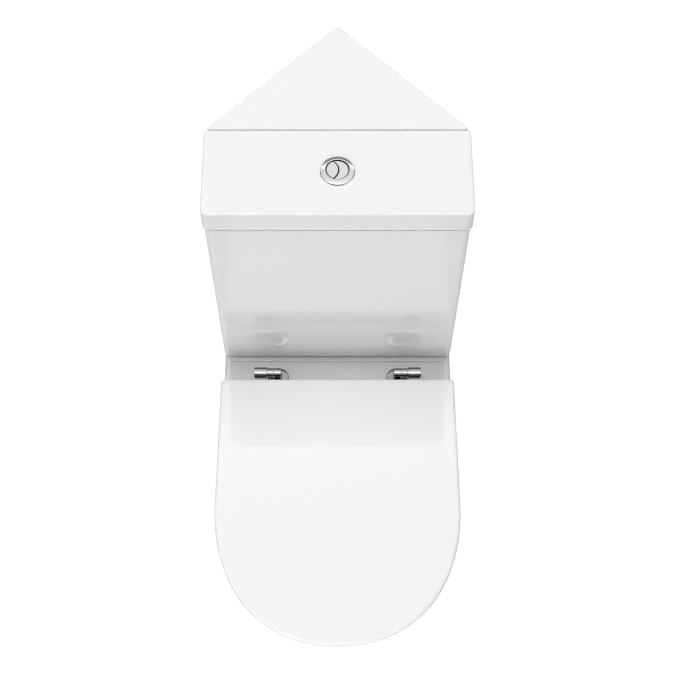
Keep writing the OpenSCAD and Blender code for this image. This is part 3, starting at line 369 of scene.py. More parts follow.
def shrunk(points, inset):
    """A convex polygon with every side moved inwards."""
    return [corner + inwards * inset / math.sin(half) for corner, _, inwards, half in corners(points)]


# ---------------- materials

def add_node(tree, kind, inputs=(), **settings):
    """A shader node; each of its inputs takes a plain value or another node's output."""
    node = tree.nodes.new("ShaderNode" + kind)
    for name, value in settings.items():
        setattr(node, name, value)
    for key, value in dict(inputs).items():
        if isinstance(value, bpy.types.NodeSocket):
            tree.links.new(value, node.inputs[key])
        else:
            node.inputs[key].default_value = value
    return node


def math_node(tree, operation, *values):
    return add_node(tree, "Math", enumerate(values), operation=operation).outputs["Value"]


def noise(tree, place, scale, detail=3):
    return add_node(tree, "TexNoise", {"Scale": scale, "Detail": detail, "Vector": place}).outputs["Fac"]


def procedural(name, dark, light, rough, patch, grain, relief, stretch=(1, 1, 1), lean=None, **sockets):
    """A material whose colour and roughness drift in patches, with a fine relief.

    patch and grain are noise scales per metre, and relief is the height of the grain in metres. lean is a painted
    reflection, brightness painted by the way the surface leans: pairs of (degrees from straight up, towards the front,
    and brightness)."""
    material = bpy.data.materials.new(name)
    material.use_nodes = True
    tree = material.node_tree
    place = add_node(tree, "TexCoord").outputs["Object"]
    place = add_node(tree, "Mapping", {"Scale": stretch, "Vector": place}).outputs["Vector"]
    colour = add_node(tree, "Mix", {"A": (*dark, 1), "B": (*light, 1), "Factor": noise(tree, place, patch)},
                      data_type="RGBA").outputs["Result"]
    # The lean paints a reflection into the colour
    if lean:
        colour = painted_reflection(tree, colour, lean)
    roughness = add_node(tree, "MapRange", {"To Min": rough[0], "To Max": rough[1],
                                            "Value": noise(tree, place, patch * 5)})
    bump = add_node(tree, "Bump", {"Distance": relief, "Height": noise(tree, place, grain, detail=2)})

    shader = tree.nodes["Principled BSDF"]
    tree.links.new(colour, shader.inputs["Base Color"])
    tree.links.new(roughness.outputs["Result"], shader.inputs["Roughness"])
    tree.links.new(bump.outputs["Normal"], shader.inputs["Normal"])
    for socket, value in sockets.items():
        shader.inputs[socket.replace("_", " ")].default_value = value
    return material


def painted_reflection(tree, colour, pairs):
    """Painted reflection: the colour darkened by the way the surface leans, as bright plating mirrors a studio with a
    dark rim.
    """
    x, y, z = add_node(tree, "SeparateXYZ", {"Vector": add_node(tree, "TexCoord").outputs["Normal"]}).outputs
    turn = math_node(tree, "ARCTAN2", math_node(tree, "MULTIPLY", y, -1), z)
    ramp = add_node(tree, "ValToRGB", {"Fac": math_node(tree, "MULTIPLY_ADD", turn, 0.5 / math.pi, 0.5)})
    stops = ramp.color_ramp.elements
    for degrees, level in pairs:
        stops.new(degrees / 360 + 0.5).color = (level, level, level, 1)
    stops.remove(stops[-1])
    stops.remove(stops[0])
    # Painted reflection: what faces sideways is painted as dark as the mirrored rim alone
    rim_only, rim_gone, rim_level = 0.93, 0.45, 0.03
    side = add_node(tree, "MapRange", {"From Min": rim_only, "From Max": rim_gone, "To Min": rim_level,
                                       "Value": math_node(tree, "ABSOLUTE", x)})
    level = math_node(tree, "MULTIPLY", ramp.outputs["Color"], side.outputs["Result"])
    return add_node(tree, "Mix", {"Factor": 1, "A": colour, "B": level},
                    data_type="RGBA", blend_type="MULTIPLY").outputs["Result"]


# Painted reflection for chrome: brightness painted by how far the surface leans from straight up, towards the front
CHROME_PAINTED_REFLECTION = (
    (-179, 0.5), (-130, 0.4), (-105, 0.02), (-70, 0.02), (-52, 0.04), (-30, 0.08), (-20, 0.12), (-13, 0.3),
    (-7, 0.75), (-2, 0.48), (2, 0.42), (14, 0.42), (24, 0.46), (32, 0.70), (40, 0.85), (58, 0.85), (68, 0.02),
    (105, 0.02), (130, 0.4), (179, 0.5),
)
LOOKS = {
    "vitreous_china": dict(
        dark=(0.76, 0.762, 0.765), light=(0.78, 0.782, 0.785), rough=(0.02, 0.06),
        patch=3, grain=30, relief=0.00001, Coat_Weight=1, Coat_Roughness=0.01,
    ),
    "seat_plastic": dict(
        dark=(0.83, 0.83, 0.835), light=(0.85, 0.85, 0.855), rough=(0.02, 0.05),
        patch=4, grain=60, relief=0.000005, Coat_Weight=1, Coat_Roughness=0.01,
    ),
    # Chrome's colour carries a painted reflection, by the way its surface leans
    "chrome": dict(
        dark=(0.92, 0.925, 0.93), light=(0.98, 0.98, 0.985), rough=(0.03, 0.08),
        patch=30, grain=500, relief=0.000002, Metallic=1, lean=CHROME_PAINTED_REFLECTION,
    ),
    "steel": dict(
        dark=(0.42, 0.42, 0.43), light=(0.58, 0.58, 0.59), rough=(0.25, 0.42),
        patch=60, grain=900, relief=0.00001, stretch=(1, 1, 0.08), Metallic=1,
    ),
    "rubber": dict(
        dark=(0.018, 0.018, 0.02), light=(0.035, 0.035, 0.037), rough=(0.6, 0.85),
        patch=25, grain=2500, relief=0.00006,
    ),
    "bumper": dict(
        dark=(0.52, 0.53, 0.54), light=(0.62, 0.63, 0.64), rough=(0.35, 0.55),
        patch=25, grain=1200, relief=0.00002, Transmission_Weight=0.25,
    ),
    "white_plastic": dict(
        dark=(0.78, 0.785, 0.79), light=(0.82, 0.825, 0.83), rough=(0.15, 0.28),
        patch=12, grain=900, relief=0.00001,
    ),
    "valve_plastic": dict(
        dark=(0.60, 0.61, 0.60), light=(0.68, 0.69, 0.68), rough=(0.30, 0.45),
        patch=15, grain=1500, relief=0.00003,
    ),
    "rocker_plastic": dict(
        dark=(0.55, 0.13, 0.012), light=(0.65, 0.17, 0.02), rough=(0.30, 0.42),
        patch=25, grain=1500, relief=0.00002,
    ),
}
materials = {name: procedural(name, **look) for name, look in LOOKS.items()}

# ---------------- pan

PAN_MID_Y = PAN_FRONT_Y + 205
FOOT_MID_Y = PAN_FRONT_Y + FOOT_SETBACK + 110
BOWL_WALL = PAN_WALL - 1
BOWL_FRONT_Y = PAN_FRONT_Y + 44
BOWL_REAR_Y = BOWL_FRONT_Y + BOWL_L
BOWL_Z = DECK - BOWL_D
SUMP_FRONT_Y = BOWL_REAR_Y - 108
DECK_UNDER = DECK - PAN_WALL
RECESS_Z = PLATFORM_Z - RECESS_D
BOSS_Z = RECESS_Z - BOSS_H


def flare(z):
    """How far the pan has widened at a height: 0 at the foot, 1 at the rim."""
    return (1 - math.cos(math.pi * min(1, max(0, z / FLARE_H)) ** 1.7)) / 2


def set_back(z):
    """How far a front falls back below the seat's edge, which hides it from above."""
    return NOSE_LEAN * max(0, SEAT_TOP - SEAT_EDGE - z)


def pan_section(z, inset):
    t = flare(z)
    hw = mix(FOOT_W, PAN_W, t) / 2 - inset
    # The front follows the foot's curve or the lean, whichever is further back, with a soft change between them
    foot, lean, sharpness = PAN_SETBACK + FOOT_SETBACK * (1 - t), min(set_back(z), LEAN_END), 6
    front = FRONT_Y + (foot ** sharpness + lean ** sharpness) ** (1 / sharpness)
    outline = tongue(
        hw, front + inset, mix(FOOT_MID_Y, PAN_MID_Y, t),
        hw, mix(PAN_BACK_Y - FOOT_BACK_INSET, PAN_BACK_Y, t) - inset, mix(FOOT_CORNER, PAN_CORNER, t) - inset,
    )
    return at_height(outline, z)


def bowl_section(z, outset):
    u = min(1, max(0, (DECK - z) / BOWL_D))
    hw = mix(BOWL_W, SUMP_W, u ** 2) / 2 + outset
    front = mix(BOWL_FRONT_Y, SUMP_FRONT_Y, u ** 1.6) - outset
    rear = mix(BOWL_REAR_Y, BOWL_REAR_Y - 12, u) + outset
    return at_height(tongue(hw, front, mix(front, rear, 0.56), hw, rear, hw * 0.5), z)


TRAP_PATH = [
    (mix(SUMP_FRONT_Y, PAN_BACK_Y - FOOT_BACK_INSET, share), z)
    for share, z in (
        (0.12, BOWL_Z + 40), (0.2, BOWL_Z + 2), (0.32, BOWL_Z - 22), (0.45, BOWL_Z + 2), (0.56, BOWL_Z + 50),
        (0.67, BOWL_Z + 92), (0.77, BOWL_Z + 100), (0.86, BOWL_Z + 76), (0.93, OUTLET_H + 10), (1, OUTLET_H),
    )
]


def trap(name, r):
    """The trapway, from the sump under the bowl, over the weir and down to the outlet."""
    path = smooth_path(TRAP_PATH, 4)
    sections = []
    for i, (y, z) in enumerate(path):
        before, after = Vector(path[max(0, i - 1)]), Vector(path[min(len(path) - 1, i + 1)])
        along = (after - before).normalized()
        sections.append([
            (r * math.cos(a), y + r * math.sin(a) * along.y, z - r * math.sin(a) * along.x) for a in turns(40)
        ])
    return loft(name, sections)


def smooth_path(points, steps):
    """A Catmull-Rom curve through the points."""
    ends = [points[0], *points, points[-1]]
    path = []
    for p0, p1, p2, p3 in zip(ends, ends[1:], ends[2:], ends[3:]):
        for i in range(steps):
            t = i / steps
            path.append(tuple(
                0.5 * (2 * b + (c - a) * t + (2 * a - 5 * b + 4 * c - d) * t ** 2 + (3 * b - a - 3 * c + d) * t ** 3)
                for a, b, c, d in zip(p0, p1, p2, p3)
            ))
    return path + [points[-1]]


def flush_channel(name, r, end_y):
    """The sloping pipe from under the flush gasket to the back of the bowl."""
    start_z, drop = BOSS_Z + BOSS_H / 2, 10
    return loft(name, [
        [(r * math.cos(a), y, z - r * math.sin(a)) for a in turns(40)]
        for y, z in ((end_y, start_z - drop), (VALVE_Y, start_z))
    ])


def make_pan():
    pan = loft("pan", [pan_section(mix(0, DECK - RIM_R, i / 80), 0) for i in range(80)]
               + rounded_top(pan_section, DECK, RIM_R))
    cut(pan, loft("hollow", [pan_section(mix(-OVER, DECK_UNDER, i / 30), PAN_WALL) for i in range(31)]))
    platform = combined(
        loft("platform", [at_height(pan_section(DECK, RIM_R), z) for z in (DECK_UNDER, PLATFORM_Z)]),
        "INTERSECT",
        box("front", (-PAN_W, LID_FRONT_Y - PLATFORM_AHEAD, DECK_UNDER - 5),
            (PAN_W, PAN_BACK_Y + OVER, PLATFORM_Z), 1.5),
    )
    bowl_low, outlet_end, edge = BOWL_Z - BOWL_WALL, PAN_BACK_Y + OUTLET_L, 2
    added(
        pan,
        loft("bowl", [bowl_section(mix(bowl_low, DECK_UNDER + OVER, i / 24), BOWL_WALL) for i in range(25)]),
        trap("trap", TRAP_R + BOWL_WALL),
        cylinder("boss", RECESS_R + PAN_WALL, BOSS_Z, DECK - RIM_R, VALVE_AT, steps=72),
        flush_channel("channel", CHANNEL_R + BOWL_WALL, BOWL_REAR_Y + BOWL_WALL),
        platform,
        revolve("spigot", [(OUTLET_R, PAN_BACK_Y - OVER), (OUTLET_R, outlet_end - edge),
                           (OUTLET_R - edge, outlet_end)], OUTLET_AT, "Y", 72),
        cylinder("collar", OUTLET_R + SHOULDER, PAN_BACK_Y - FOOT_BACK_INSET - PAN_WALL, PAN_BACK_Y,
                 OUTLET_AT, "Y", 72),
    )
    # The bowl's mouth opens out over a rounded lip
    lip = 7
    mouth = [bowl_section(mix(BOWL_Z, DECK - lip, i / 24), 0) for i in range(24)]
    mouth += rounded_top(bowl_section, DECK, lip)
    mouth.append(at_height(mouth[-1], DECK + OVER))
    cut(
        pan,
        loft("bowl", mouth),
        trap("trap", TRAP_R),
        flush_channel("channel", CHANNEL_R, BOWL_REAR_Y - CHANNEL_R),
        cylinder("bore", OUTLET_R - OUTLET_WALL, PAN_BACK_Y - FOOT_BACK_INSET - 2 * PAN_WALL,
                 outlet_end + OVER, OUTLET_AT, "Y", 72),
        revolve("recess", [(RECESS_R, RECESS_Z), (RECESS_R, PLATFORM_Z - edge), (RECESS_R + edge, PLATFORM_Z),
                           (RECESS_R + edge, PLATFORM_Z + OVER)], VALVE_AT, steps=72),
        cylinder("inlet", INLET_R, RECESS_Z - BOSS_H / 2, RECESS_Z + BOSS_H / 2, VALVE_AT),
        both_sides(cylinder("bolts", BOLT_R + 2, DECK_UNDER - OVER, PLATFORM_Z + OVER, BOLT_AT)),
        both_sides(cylinder("studs", STUD_R + 3, DECK_UNDER - OVER, DECK + OVER, STUD_AT)),
        both_sides(cylinder("screws", SIDE_SCREW_R + 1, FOOT_W / 2 - 2 * PAN_WALL, FOOT_W / 2 + PAN_WALL,
                            SIDE_SCREW_AT, "X")),
    )
    dressed(pan, "pan_deck", "pan_bowl", "pan_skirt", sharp=40)


# ---------------- cistern, its lid and the corner cover

def cistern_section(z, inset):
    t = (z - CISTERN_Z) / (RIM_Z - CISTERN_Z)
    hw = mix(CISTERN_BASE_W, CISTERN_TOP_W, t) / 2 - inset
    front, total = LID_FRONT_Y + CISTERN_INSET + inset, WALL_SUM - inset * DIAGONAL
    radii = [max(r - inset, 2) for r in (FRONT_R, FRONT_R, SIDE_R, APEX_R, SIDE_R)]
    return at_height(
        rounded([(-hw, front), (hw, front), (hw, total - hw), (0, total), (-hw, total - hw)], radii), z
    )


def make_cistern():
    foot, lip, fillet, rail_h, rail_w = 2, 1.5, 8, 14, 18
    # The rim steps in under the lid, where it lies in shadow
    step_h, step, edge = 4.5, 2, 0.4
    step_z = RIM_Z - step_h
    outside = rounded_foot(cistern_section, CISTERN_Z, foot, 5)
    outside += [cistern_section(mix(CISTERN_Z + foot, step_z, i / 6), 0) for i in range(1, 6)]
    outside += [cistern_section(z, inset) for z, inset in ((step_z - edge, 0), (step_z, edge), (step_z, step))]
    outside += rounded_top(cistern_section, RIM_Z, lip, 4, step)
    inside = rounded_foot(cistern_section, FLOOR_Z, fillet, 6, CISTERN_WALL)
    inside += [cistern_section(z, CISTERN_WALL) for z in (RIM_Z - lip, RIM_Z + OVER)]
    rail_x = CISTERN_TOP_W / 2 - CISTERN_WALL / 2
    cistern = cut(loft("cistern", outside), loft("inside", inside))
    added(cistern, box("rail", (-rail_x, SEAM_Y - rail_w / 2, RIM_Z - rail_h),
                       (rail_x, SEAM_Y + rail_w / 2, RIM_Z), 1.5))
    low, high = CISTERN_Z - OVER, FLOOR_Z + OVER
    cut(
        cistern,
        cylinder("tail", TAIL_R + 2, low, high, VALVE_AT),
        cylinder("shank", SHANK_R + 1, low, high, FILL_AT),
        both_sides(cylinder("bolts", BOLT_R + 1, low, high, BOLT_AT)),
    )
    dressed(cistern, "cistern")


def lid_slab(name, points, radii):
    """A hollow lid with a rounded top edge, a small rounding below and a rib-free underside."""
    def slab(z, inset):
        return at_height(rounded(shrunk(points, inset), [max(r - inset / 2, 1) for r in radii]), z)

    fillet, ceiling = 4, HEIGHT - LID_TOP_T
    outside = rounded_foot(slab, RIM_Z, 1, 3) + rounded_top(slab, HEIGHT, LID_EDGE)
    inside = [slab(RIM_Z - OVER, LID_WALL - 1), slab(RIM_Z + 1.5, LID_WALL), slab(ceiling - fillet, LID_WALL)]
    inside += rounded_top(slab, ceiling, fillet, 4, LID_WALL)
    return cut(loft(name, outside), loft("inside", inside))


def make_cistern_lid():
    hw, rear = LID_W / 2, SEAM_Y - SEAM / 2
    rear_r, hole_r = 4, 20
    lid = lid_slab("lid", [(-hw, LID_FRONT_Y), (hw, LID_FRONT_Y), (hw, rear), (-hw, rear)],
                   [FRONT_R, FRONT_R, rear_r, rear_r])
    # Four ribs stand just inside the cistern's rim
    t, long, play, low, high = 5, 40, 2, RIM_Z - 8, HEIGHT - LID_TOP_T + 1
    y = LID_FRONT_Y + CISTERN_INSET + CISTERN_WALL + play
    x = CISTERN_TOP_W / 2 - CISTERN_WALL - play
    added(
        lid,
        both_sides(box("rib", (hw / 2, y, low), (hw / 2 + long, y + t, high), 1.2)),
        both_sides(box("rib", (x - t, VALVE_Y - long / 2, low), (x, VALVE_Y + long / 2, high), 1.2)),
    )
    cut(lid, cylinder("hole", hole_r, HEIGHT - LID_TOP_T - OVER, HEIGHT + OVER, VALVE_AT, steps=72))
    dressed(lid, "cistern_lid")


def make_corner_cover():
    front, side_r = SEAM_Y + SEAM / 2, 3
    hw = COVER_SUM - front
    cover = lid_slab("cover", [(-hw, front), (hw, front), (0, COVER_SUM)], [side_r, side_r, APEX_R])
    dressed(cover, "corner_cover")


# ---------------- seat

RING_FRONT_Y, RING_REAR_Y = FRONT_Y + RING_INSET, SEAT_REAR_Y - RING_INSET
OPEN_FRONT_Y, OPEN_REAR_Y = RING_FRONT_Y + RING_FRONT_BAND, RING_REAR_Y - RING_REAR_BAND
KNUCKLE_ARM_Z, KNUCKLE_ARM_Y = RING_LOW - 1, SEAT_REAR_Y - 48
BARREL_ARM_Z, BARREL_ARM_Y = AXIS_Z - BARREL_R + 0.6, SEAT_REAR_Y - 40
ARM_T, ARM_SCREW_R, ARM_SCREW_IN = 5, 2, 10
KNUCKLE_SCREW = (KNUCKLE_X + KNUCKLE_W / 2, KNUCKLE_ARM_Y + ARM_SCREW_IN)
BARREL_SCREW = (BARREL_X + BARREL_W / 2, BARREL_ARM_Y + ARM_SCREW_IN)


def seat_section(z, inset, back):
    outline = tongue(SEAT_W / 2 - inset, FRONT_Y + back + inset, FRONT_Y + SEAT_NOSE, SEAT_REAR_W / 2 - inset,
                     SEAT_REAR_Y - inset, max(SEAT_CORNER - inset, 1.5), steps=60)
    return at_height(outline, z)


def lid_section(z, inset):
    return seat_section(z, inset, set_back(z))


def ring_section(z, inset):
    """The ring's nose is as far back as the lid's lowest edge, so that the lid can lift off it."""
    return seat_section(z, RING_INSET + inset, set_back(SKIRT))


def opening_section(z, outset):
    front, rear = OPEN_FRONT_Y - outset, OPEN_REAR_Y + outset
    hw, corner_r = RING_OPEN_W / 2 + outset, 60
    return at_height(tongue(hw, front, mix(front, rear, 0.6), hw, rear, corner_r + outset, steps=60, corner=20), z)


def rim_point(degrees):
    """A place midway across the pan's rim, by its angle from the tip."""
    a = math.radians(degrees)
    return nose_point((PAN_W + BOWL_W) / 4, (PAN_FRONT_Y + BOWL_FRONT_Y) / 2, PAN_MID_Y,
                      math.sin(a), 1 - math.cos(a))


BUMPERS = [rim_point(48), (rim_point(90)[0], SEAT_REAR_Y - 62)]


def make_seat_ring():
    outside = rounded_foot(ring_section, RING_LOW, 1, 3) + rounded_top(ring_section, RING_TOP, RING_EDGE, 10)
    pocket = cut(
        loft("pocket", [ring_section(z, RING_WALL) for z in (RING_LOW - OVER, RING_TOP - RING_WALL)]),
        loft("wall", [opening_section(z, RING_WALL) for z in (RING_LOW - 2 * OVER, RING_TOP)]),
    )
    ring = cut(loft("ring", outside), pocket)
    low, high, boss_r, gap = RING_LOW - OVER, RING_TOP + OVER, 10, 0.8
    added(
        ring,
        *[both_sides(cylinder("boss", boss_r, RING_LOW, RING_TOP - 2, (x, y, 0))) for x, y in BUMPERS],
        both_sides(box("pad", (KNUCKLE_X - 1, KNUCKLE_ARM_Y - 2, RING_LOW + 1),
                       (KNUCKLE_X + KNUCKLE_W + 0.4, RING_REAR_Y - 1, RING_TOP - 2))),
    )
    opening = [opening_section(low, 0)] + rounded_top(opening_section, RING_TOP, RING_EDGE, 10)
    opening.append(opening_section(high, RING_EDGE))
    cut(
        ring,
        loft("opening", opening),
        both_sides(box("notch", (BARREL_X + 1 - gap, BARREL_ARM_Y - 5, low),
                       (BARREL_END_X + gap, SEAT_REAR_Y + OVER, high))),
        both_sides(box("bed", (KNUCKLE_X - gap, KNUCKLE_ARM_Y - gap, low),
                       (KNUCKLE_X + KNUCKLE_W + gap, SEAT_REAR_Y + OVER, KNUCKLE_ARM_Z + ARM_T))),
        both_sides(cylinder("screw", ARM_SCREW_R + FIT, RING_LOW, RING_LOW + 14, (*KNUCKLE_SCREW, 0), steps=24)),
    )
    dressed(ring, "seat_ring", sharp=40)


def make_seat_lid():
    fillet, ceiling, room = 4, SEAT_TOP - SEAT_WALL, 3
    outside = rounded_foot(lid_section, SKIRT, 0.8, 3) + rounded_top(lid_section, SEAT_TOP, SEAT_EDGE, 10)
    inside = [lid_section(z, SEAT_WALL) for z in (SKIRT - OVER, ceiling - fillet)]
    inside += rounded_top(lid_section, ceiling, fillet, 6, SEAT_WALL)
    lid = cut(loft("lid", outside), loft("inside", inside))
    arm_top = BARREL_ARM_Z + ARM_T
    added(lid, both_sides(box("boss", (BARREL_X + 1, BARREL_ARM_Y, arm_top),
                              (BARREL_END_X - 1.5, BARREL_ARM_Y + 24, ceiling + OVER))))
    cut(
        lid,
        box("room", (-BARREL_END_X - room, SEAT_REAR_Y - 2 * SEAT_WALL, SKIRT - OVER),
            (BARREL_END_X + room, SEAT_REAR_Y + OVER, RING_TOP + OVER)),
        both_sides(cylinder("screw", ARM_SCREW_R + FIT, BARREL_ARM_Z, arm_top + 13, (*BARREL_SCREW, 0), steps=24)),
    )
    dressed(lid, "seat_lid", sharp=40)


# ---------------- hinges

HEAD_X = HINGE_X - HEAD_W / 2
PIN_R, PIN_IN, STUD_L, BUSH_H = 3, 2, 50, 10
NUT_EDGE = 0.8


def rod(name, r, low, high, at=(0, 0, 0), axis="Z", foot=0.4, top=0.4, steps=64):
    """A rod with its two ends rounded over."""
    return revolve(name, wall(r, low, high, foot, top), at, axis, steps)


def screw(name, r, l, at, head_r=4, head_h=2.5, pitch=1.2):
    """A screw driven upwards, with a domed head, a cross in it and a threaded shank."""
    dome = [(head_r * (1 - c), -head_h * s) for s, c in reversed(quarter(8))]
    body = revolve(name, [*dome, (r, 0), (r, l - r), (0.2 * r, l)], at, "Z", 40, thread=(0, l - r, pitch, 0.28 * r))
    narrow, wide, depth, floor_z = 0.45, 0.62 * head_r, head_h + 1, at[2] - head_h + 1.1
    return cut(body, *[
        box("slot", (at[0] - u, at[1] - v, at[2] - depth), (at[0] + u, at[1] + v, floor_z))
        for u, v in ((narrow, wide), (wide, narrow))
    ])


def make_hinge_posts():
    neck, foot, edge, rise = STUD_R + 2, 1, 0.4, 3
    dome = [(mix(ROSETTE_R, neck, c), foot + rise * s) for s, c in quarter(12)]
    post = revolve("post", [(ROSETTE_R - edge, 0), (ROSETTE_R, edge), *dome, (neck, AXIS_Z - DECK)],
                   (HINGE_X, AXIS_Y, DECK), steps=96)
    added(post, rod("head", KNUCKLE_R, HEAD_X, HEAD_X + HEAD_W, HINGE_AT, "X", 3, 0.5))
    cut(
        post,
        cylinder("bore", PIN_R + FIT, HEAD_X + PIN_IN, HEAD_X + HEAD_W + OVER, HINGE_AT, "X"),
        cylinder("stud_hole", STUD_R + FIT, DECK - OVER, AXIS_Z - KNUCKLE_R, STUD_AT),
    )
    dressed(both_sides(post), "hinge_posts", sharp=30)


def make_ring_knuckles():
    low, high, inset = KNUCKLE_X, KNUCKLE_X + KNUCKLE_W, 0.3
    knuckle = rod("knuckle", KNUCKLE_R, low, high, HINGE_AT, "X", 0.5, 0.5)
    added(
        knuckle,
        box("arm", (low + inset, KNUCKLE_ARM_Y, KNUCKLE_ARM_Z), (high - inset, AXIS_Y, KNUCKLE_ARM_Z + ARM_T), 0.8),
        box("neck", (low + inset, AXIS_Y - KNUCKLE_R + 0.5, KNUCKLE_ARM_Z), (high - inset, AXIS_Y, AXIS_Z), 0.8),
    )
    cut(knuckle, cylinder("bore", PIN_R + FIT, low - OVER, high + OVER, HINGE_AT, "X"))
    dressed(both_sides(knuckle), "ring_knuckles", sharp=30)
    screws = screw("screw", ARM_SCREW_R, ARM_T + 9, (*KNUCKLE_SCREW, KNUCKLE_ARM_Z))
    dressed(both_sides(screws), "knuckle_screws")


def make_lid_barrels():
    end = BARREL_END_X
    barrel = rod("barrel", BARREL_R, BARREL_X, end, HINGE_AT, "X", 0.5, 1.5)
    added(barrel, box("arm", (BARREL_X + 1, BARREL_ARM_Y, BARREL_ARM_Z),
                      (end - 1.5, AXIS_Y - 2, BARREL_ARM_Z + ARM_T), 0.8))
    cut(
        barrel,
        cylinder("bore", PIN_R + FIT, BARREL_X - OVER, end - PIN_IN, HINGE_AT, "X"),
        revolve("dimple", [(0, end - 0.5), (3.4, end - 0.2), (4, end + OVER)], HINGE_AT, "X"),
    )
    dressed(both_sides(barrel), "lid_barrels", sharp=30)
    screws = screw("screw", ARM_SCREW_R, ARM_T + 12, (*BARREL_SCREW, BARREL_ARM_Z))
    dressed(both_sides(screws), "barrel_screws")


def make_hinge_fixings():
    pin_gap = PIN_IN + 0.3
    pin = rod("pin", PIN_R, HEAD_X + pin_gap, BARREL_END_X - pin_gap, HINGE_AT, "X", 0.6, 0.6, 40)
    dressed(both_sides(pin), "hinge_pins")
    low, high = DECK - STUD_L, AXIS_Z - KNUCKLE_R - 0.5
    stud = revolve("stud", wall(STUD_R, low, high, 1, 1, 1), STUD_AT, steps=40, thread=(low + 1, high - 1, 1.25, 0.6))
    dressed(both_sides(stud), "hinge_studs")
    bore, waist, outer, edge = STUD_R + FIT, STUD_R + 2.5, STUD_R + 7, 1.2
    low, high = DECK_UNDER - BUSH_H, DECK_UNDER + 8
    bush = revolve("bush", [
        (bore, low), *wall(outer, low, DECK_UNDER, 1.5, 1, 1), (waist, DECK_UNDER), (waist, high - edge),
        (waist - edge, high), (bore, high),
    ], STUD_AT, ring=True)
    dressed(both_sides(bush), "hinge_bushes")
    dressed(both_sides(wing_nut("nut", STUD_R, 12, (HINGE_X, AXIS_Y, low))), "hinge_wing_nuts")


def wing_nut(name, bore, h, at):
    """A round hub and two wings with round tips; its top face is at the given place."""
    hub, wing, t, edge = 1.9 * bore, 4.6 * bore, 1.5, 0.5
    nut = revolve(name, wall(hub, -h, 0, NUT_EDGE, NUT_EDGE, 1), at, steps=48)

    def side(depth, inset):
        half, low, high = wing - inset, inset - h, -1 - inset
        outline = rounded([(-half, low), (half, low), (half, high), (-half, high)], [h / 2 - 1 - inset] * 4, 6)
        return [(at[0] + u, at[1] + depth, at[2] + v) for u, v in outline]

    added(nut, loft("blade", [side(-t, edge), side(edge - t, 0), side(t - edge, 0), side(t, edge)]))
    return cut(nut, threaded_bore(bore, -h, 0, at, 1.25, 0.5, steps=32))


def threaded_bore(r, low, high, at, pitch, depth, steps=64):
    """What cuts a threaded hole, from below one face to above the other."""
    profile = [(r, low - OVER), (r, low), (r, high), (r, high + OVER)]
    return revolve("bore", profile, at, steps=steps, thread=(low, high, pitch, -depth))


# ---------------- button

BUTTON_R, SPLIT_R, SPLIT_X, BUTTON_GAP, SPLIT_GAP = 15.1, 16.2, 15.3, 1.3, 1.5
BUTTON_LOW, BUTTON_TOP, FULL_LOWER = HEIGHT - 13, HEIGHT + 4.1, 0.8
BEZEL_R, BEZEL_H, BARREL_THREAD_R, BEZEL_LOW = 24, 5, 19, HEIGHT - 30
SPRING_LOW, SPRING_R, SPRING_WIRE, SPRING_TRAVEL = BEZEL_LOW + 4, 4.2, 1.2, 5
ROD_R, HALF_ROD_X, FULL_ROD_X = 2.5, -8, 9.5


def arc(centre, r, start, end, steps):
    return [(centre + r * math.cos(a), r * math.sin(a))
            for a in (mix(start, end, i / steps) for i in range(steps + 1))]


def meeting_angles(r, split_r):
    """Where a circle about the middle and the split's circle meet, as seen from the centre of each."""
    x = (split_r ** 2 - r ** 2 - SPLIT_X ** 2) / (2 * SPLIT_X)
    y = math.sqrt(max(r ** 2 - x ** 2, 0))
    return math.atan2(y, x), math.atan2(y, x + SPLIT_X)


def lens(inset):
    """The small half of the button, inside both circles."""
    r, split_r = BUTTON_R - inset, SPLIT_R - inset
    own, split = meeting_angles(r, split_r)
    return arc(0, r, own, 2 * math.pi - own, 40) + arc(-SPLIT_X, split_r, -split, split, 40)[1:-1]


def crescent(inset):
    """The large half, inside the button's circle and outside the split."""
    r, split_r = BUTTON_R - inset, SPLIT_R + SPLIT_GAP + inset
    own, split = meeting_angles(r, split_r)
    return arc(0, r, -own, own, 60) + arc(-SPLIT_X, split_r, split, -split, 40)[1:-1]


def make_button(node, outline, top, edge=0.7):
    def section(z, inset):
        return [(x, y + VALVE_Y, z) for x, y in outline(inset)]

    foot = [section(BUTTON_LOW, 0.4), section(BUTTON_LOW + 0.4, 0)]
    dressed(loft(node, foot + rounded_top(section, top, edge, 6)), node, sharp=50)


def make_bezel():
    bore, low, r, lip_r = BUTTON_R + BUTTON_GAP, BEZEL_LOW, BARREL_THREAD_R, 0.7
    foot_r, foot_h, slope, crest_r = BEZEL_R - 0.7, 1.9, 1.8, bore + 0.8
    crown = [(mix(crest_r, foot_r, (1 - c) ** slope), HEIGHT + mix(foot_h, BEZEL_H, s ** slope))
             for s, c in quarter(20)[:-1]]
    lip = [(bore + lip_r * c, HEIGHT + BEZEL_H - lip_r * (1 - s)) for s, c in reversed(quarter(6))]
    bezel = revolve("bezel", [
        (0, low), (r - 1, low), (r, low + 1), (r, HEIGHT), (BEZEL_R - 0.2, HEIGHT), (BEZEL_R, HEIGHT + 0.2),
        *crown, *lip, (bore, SPRING_LOW), (0, SPRING_LOW),
    ], VALVE_AT, steps=128, thread=(low + 1, HEIGHT, 2.5, 0.8))
    cut(bezel, *[cylinder("guide", ROD_R + 0.5, low - OVER, SPRING_LOW + OVER, (x, VALVE_Y, 0), steps=32)
                 for x in (HALF_ROD_X, FULL_ROD_X)])
    dressed(bezel, "button_bezel", sharp=16)


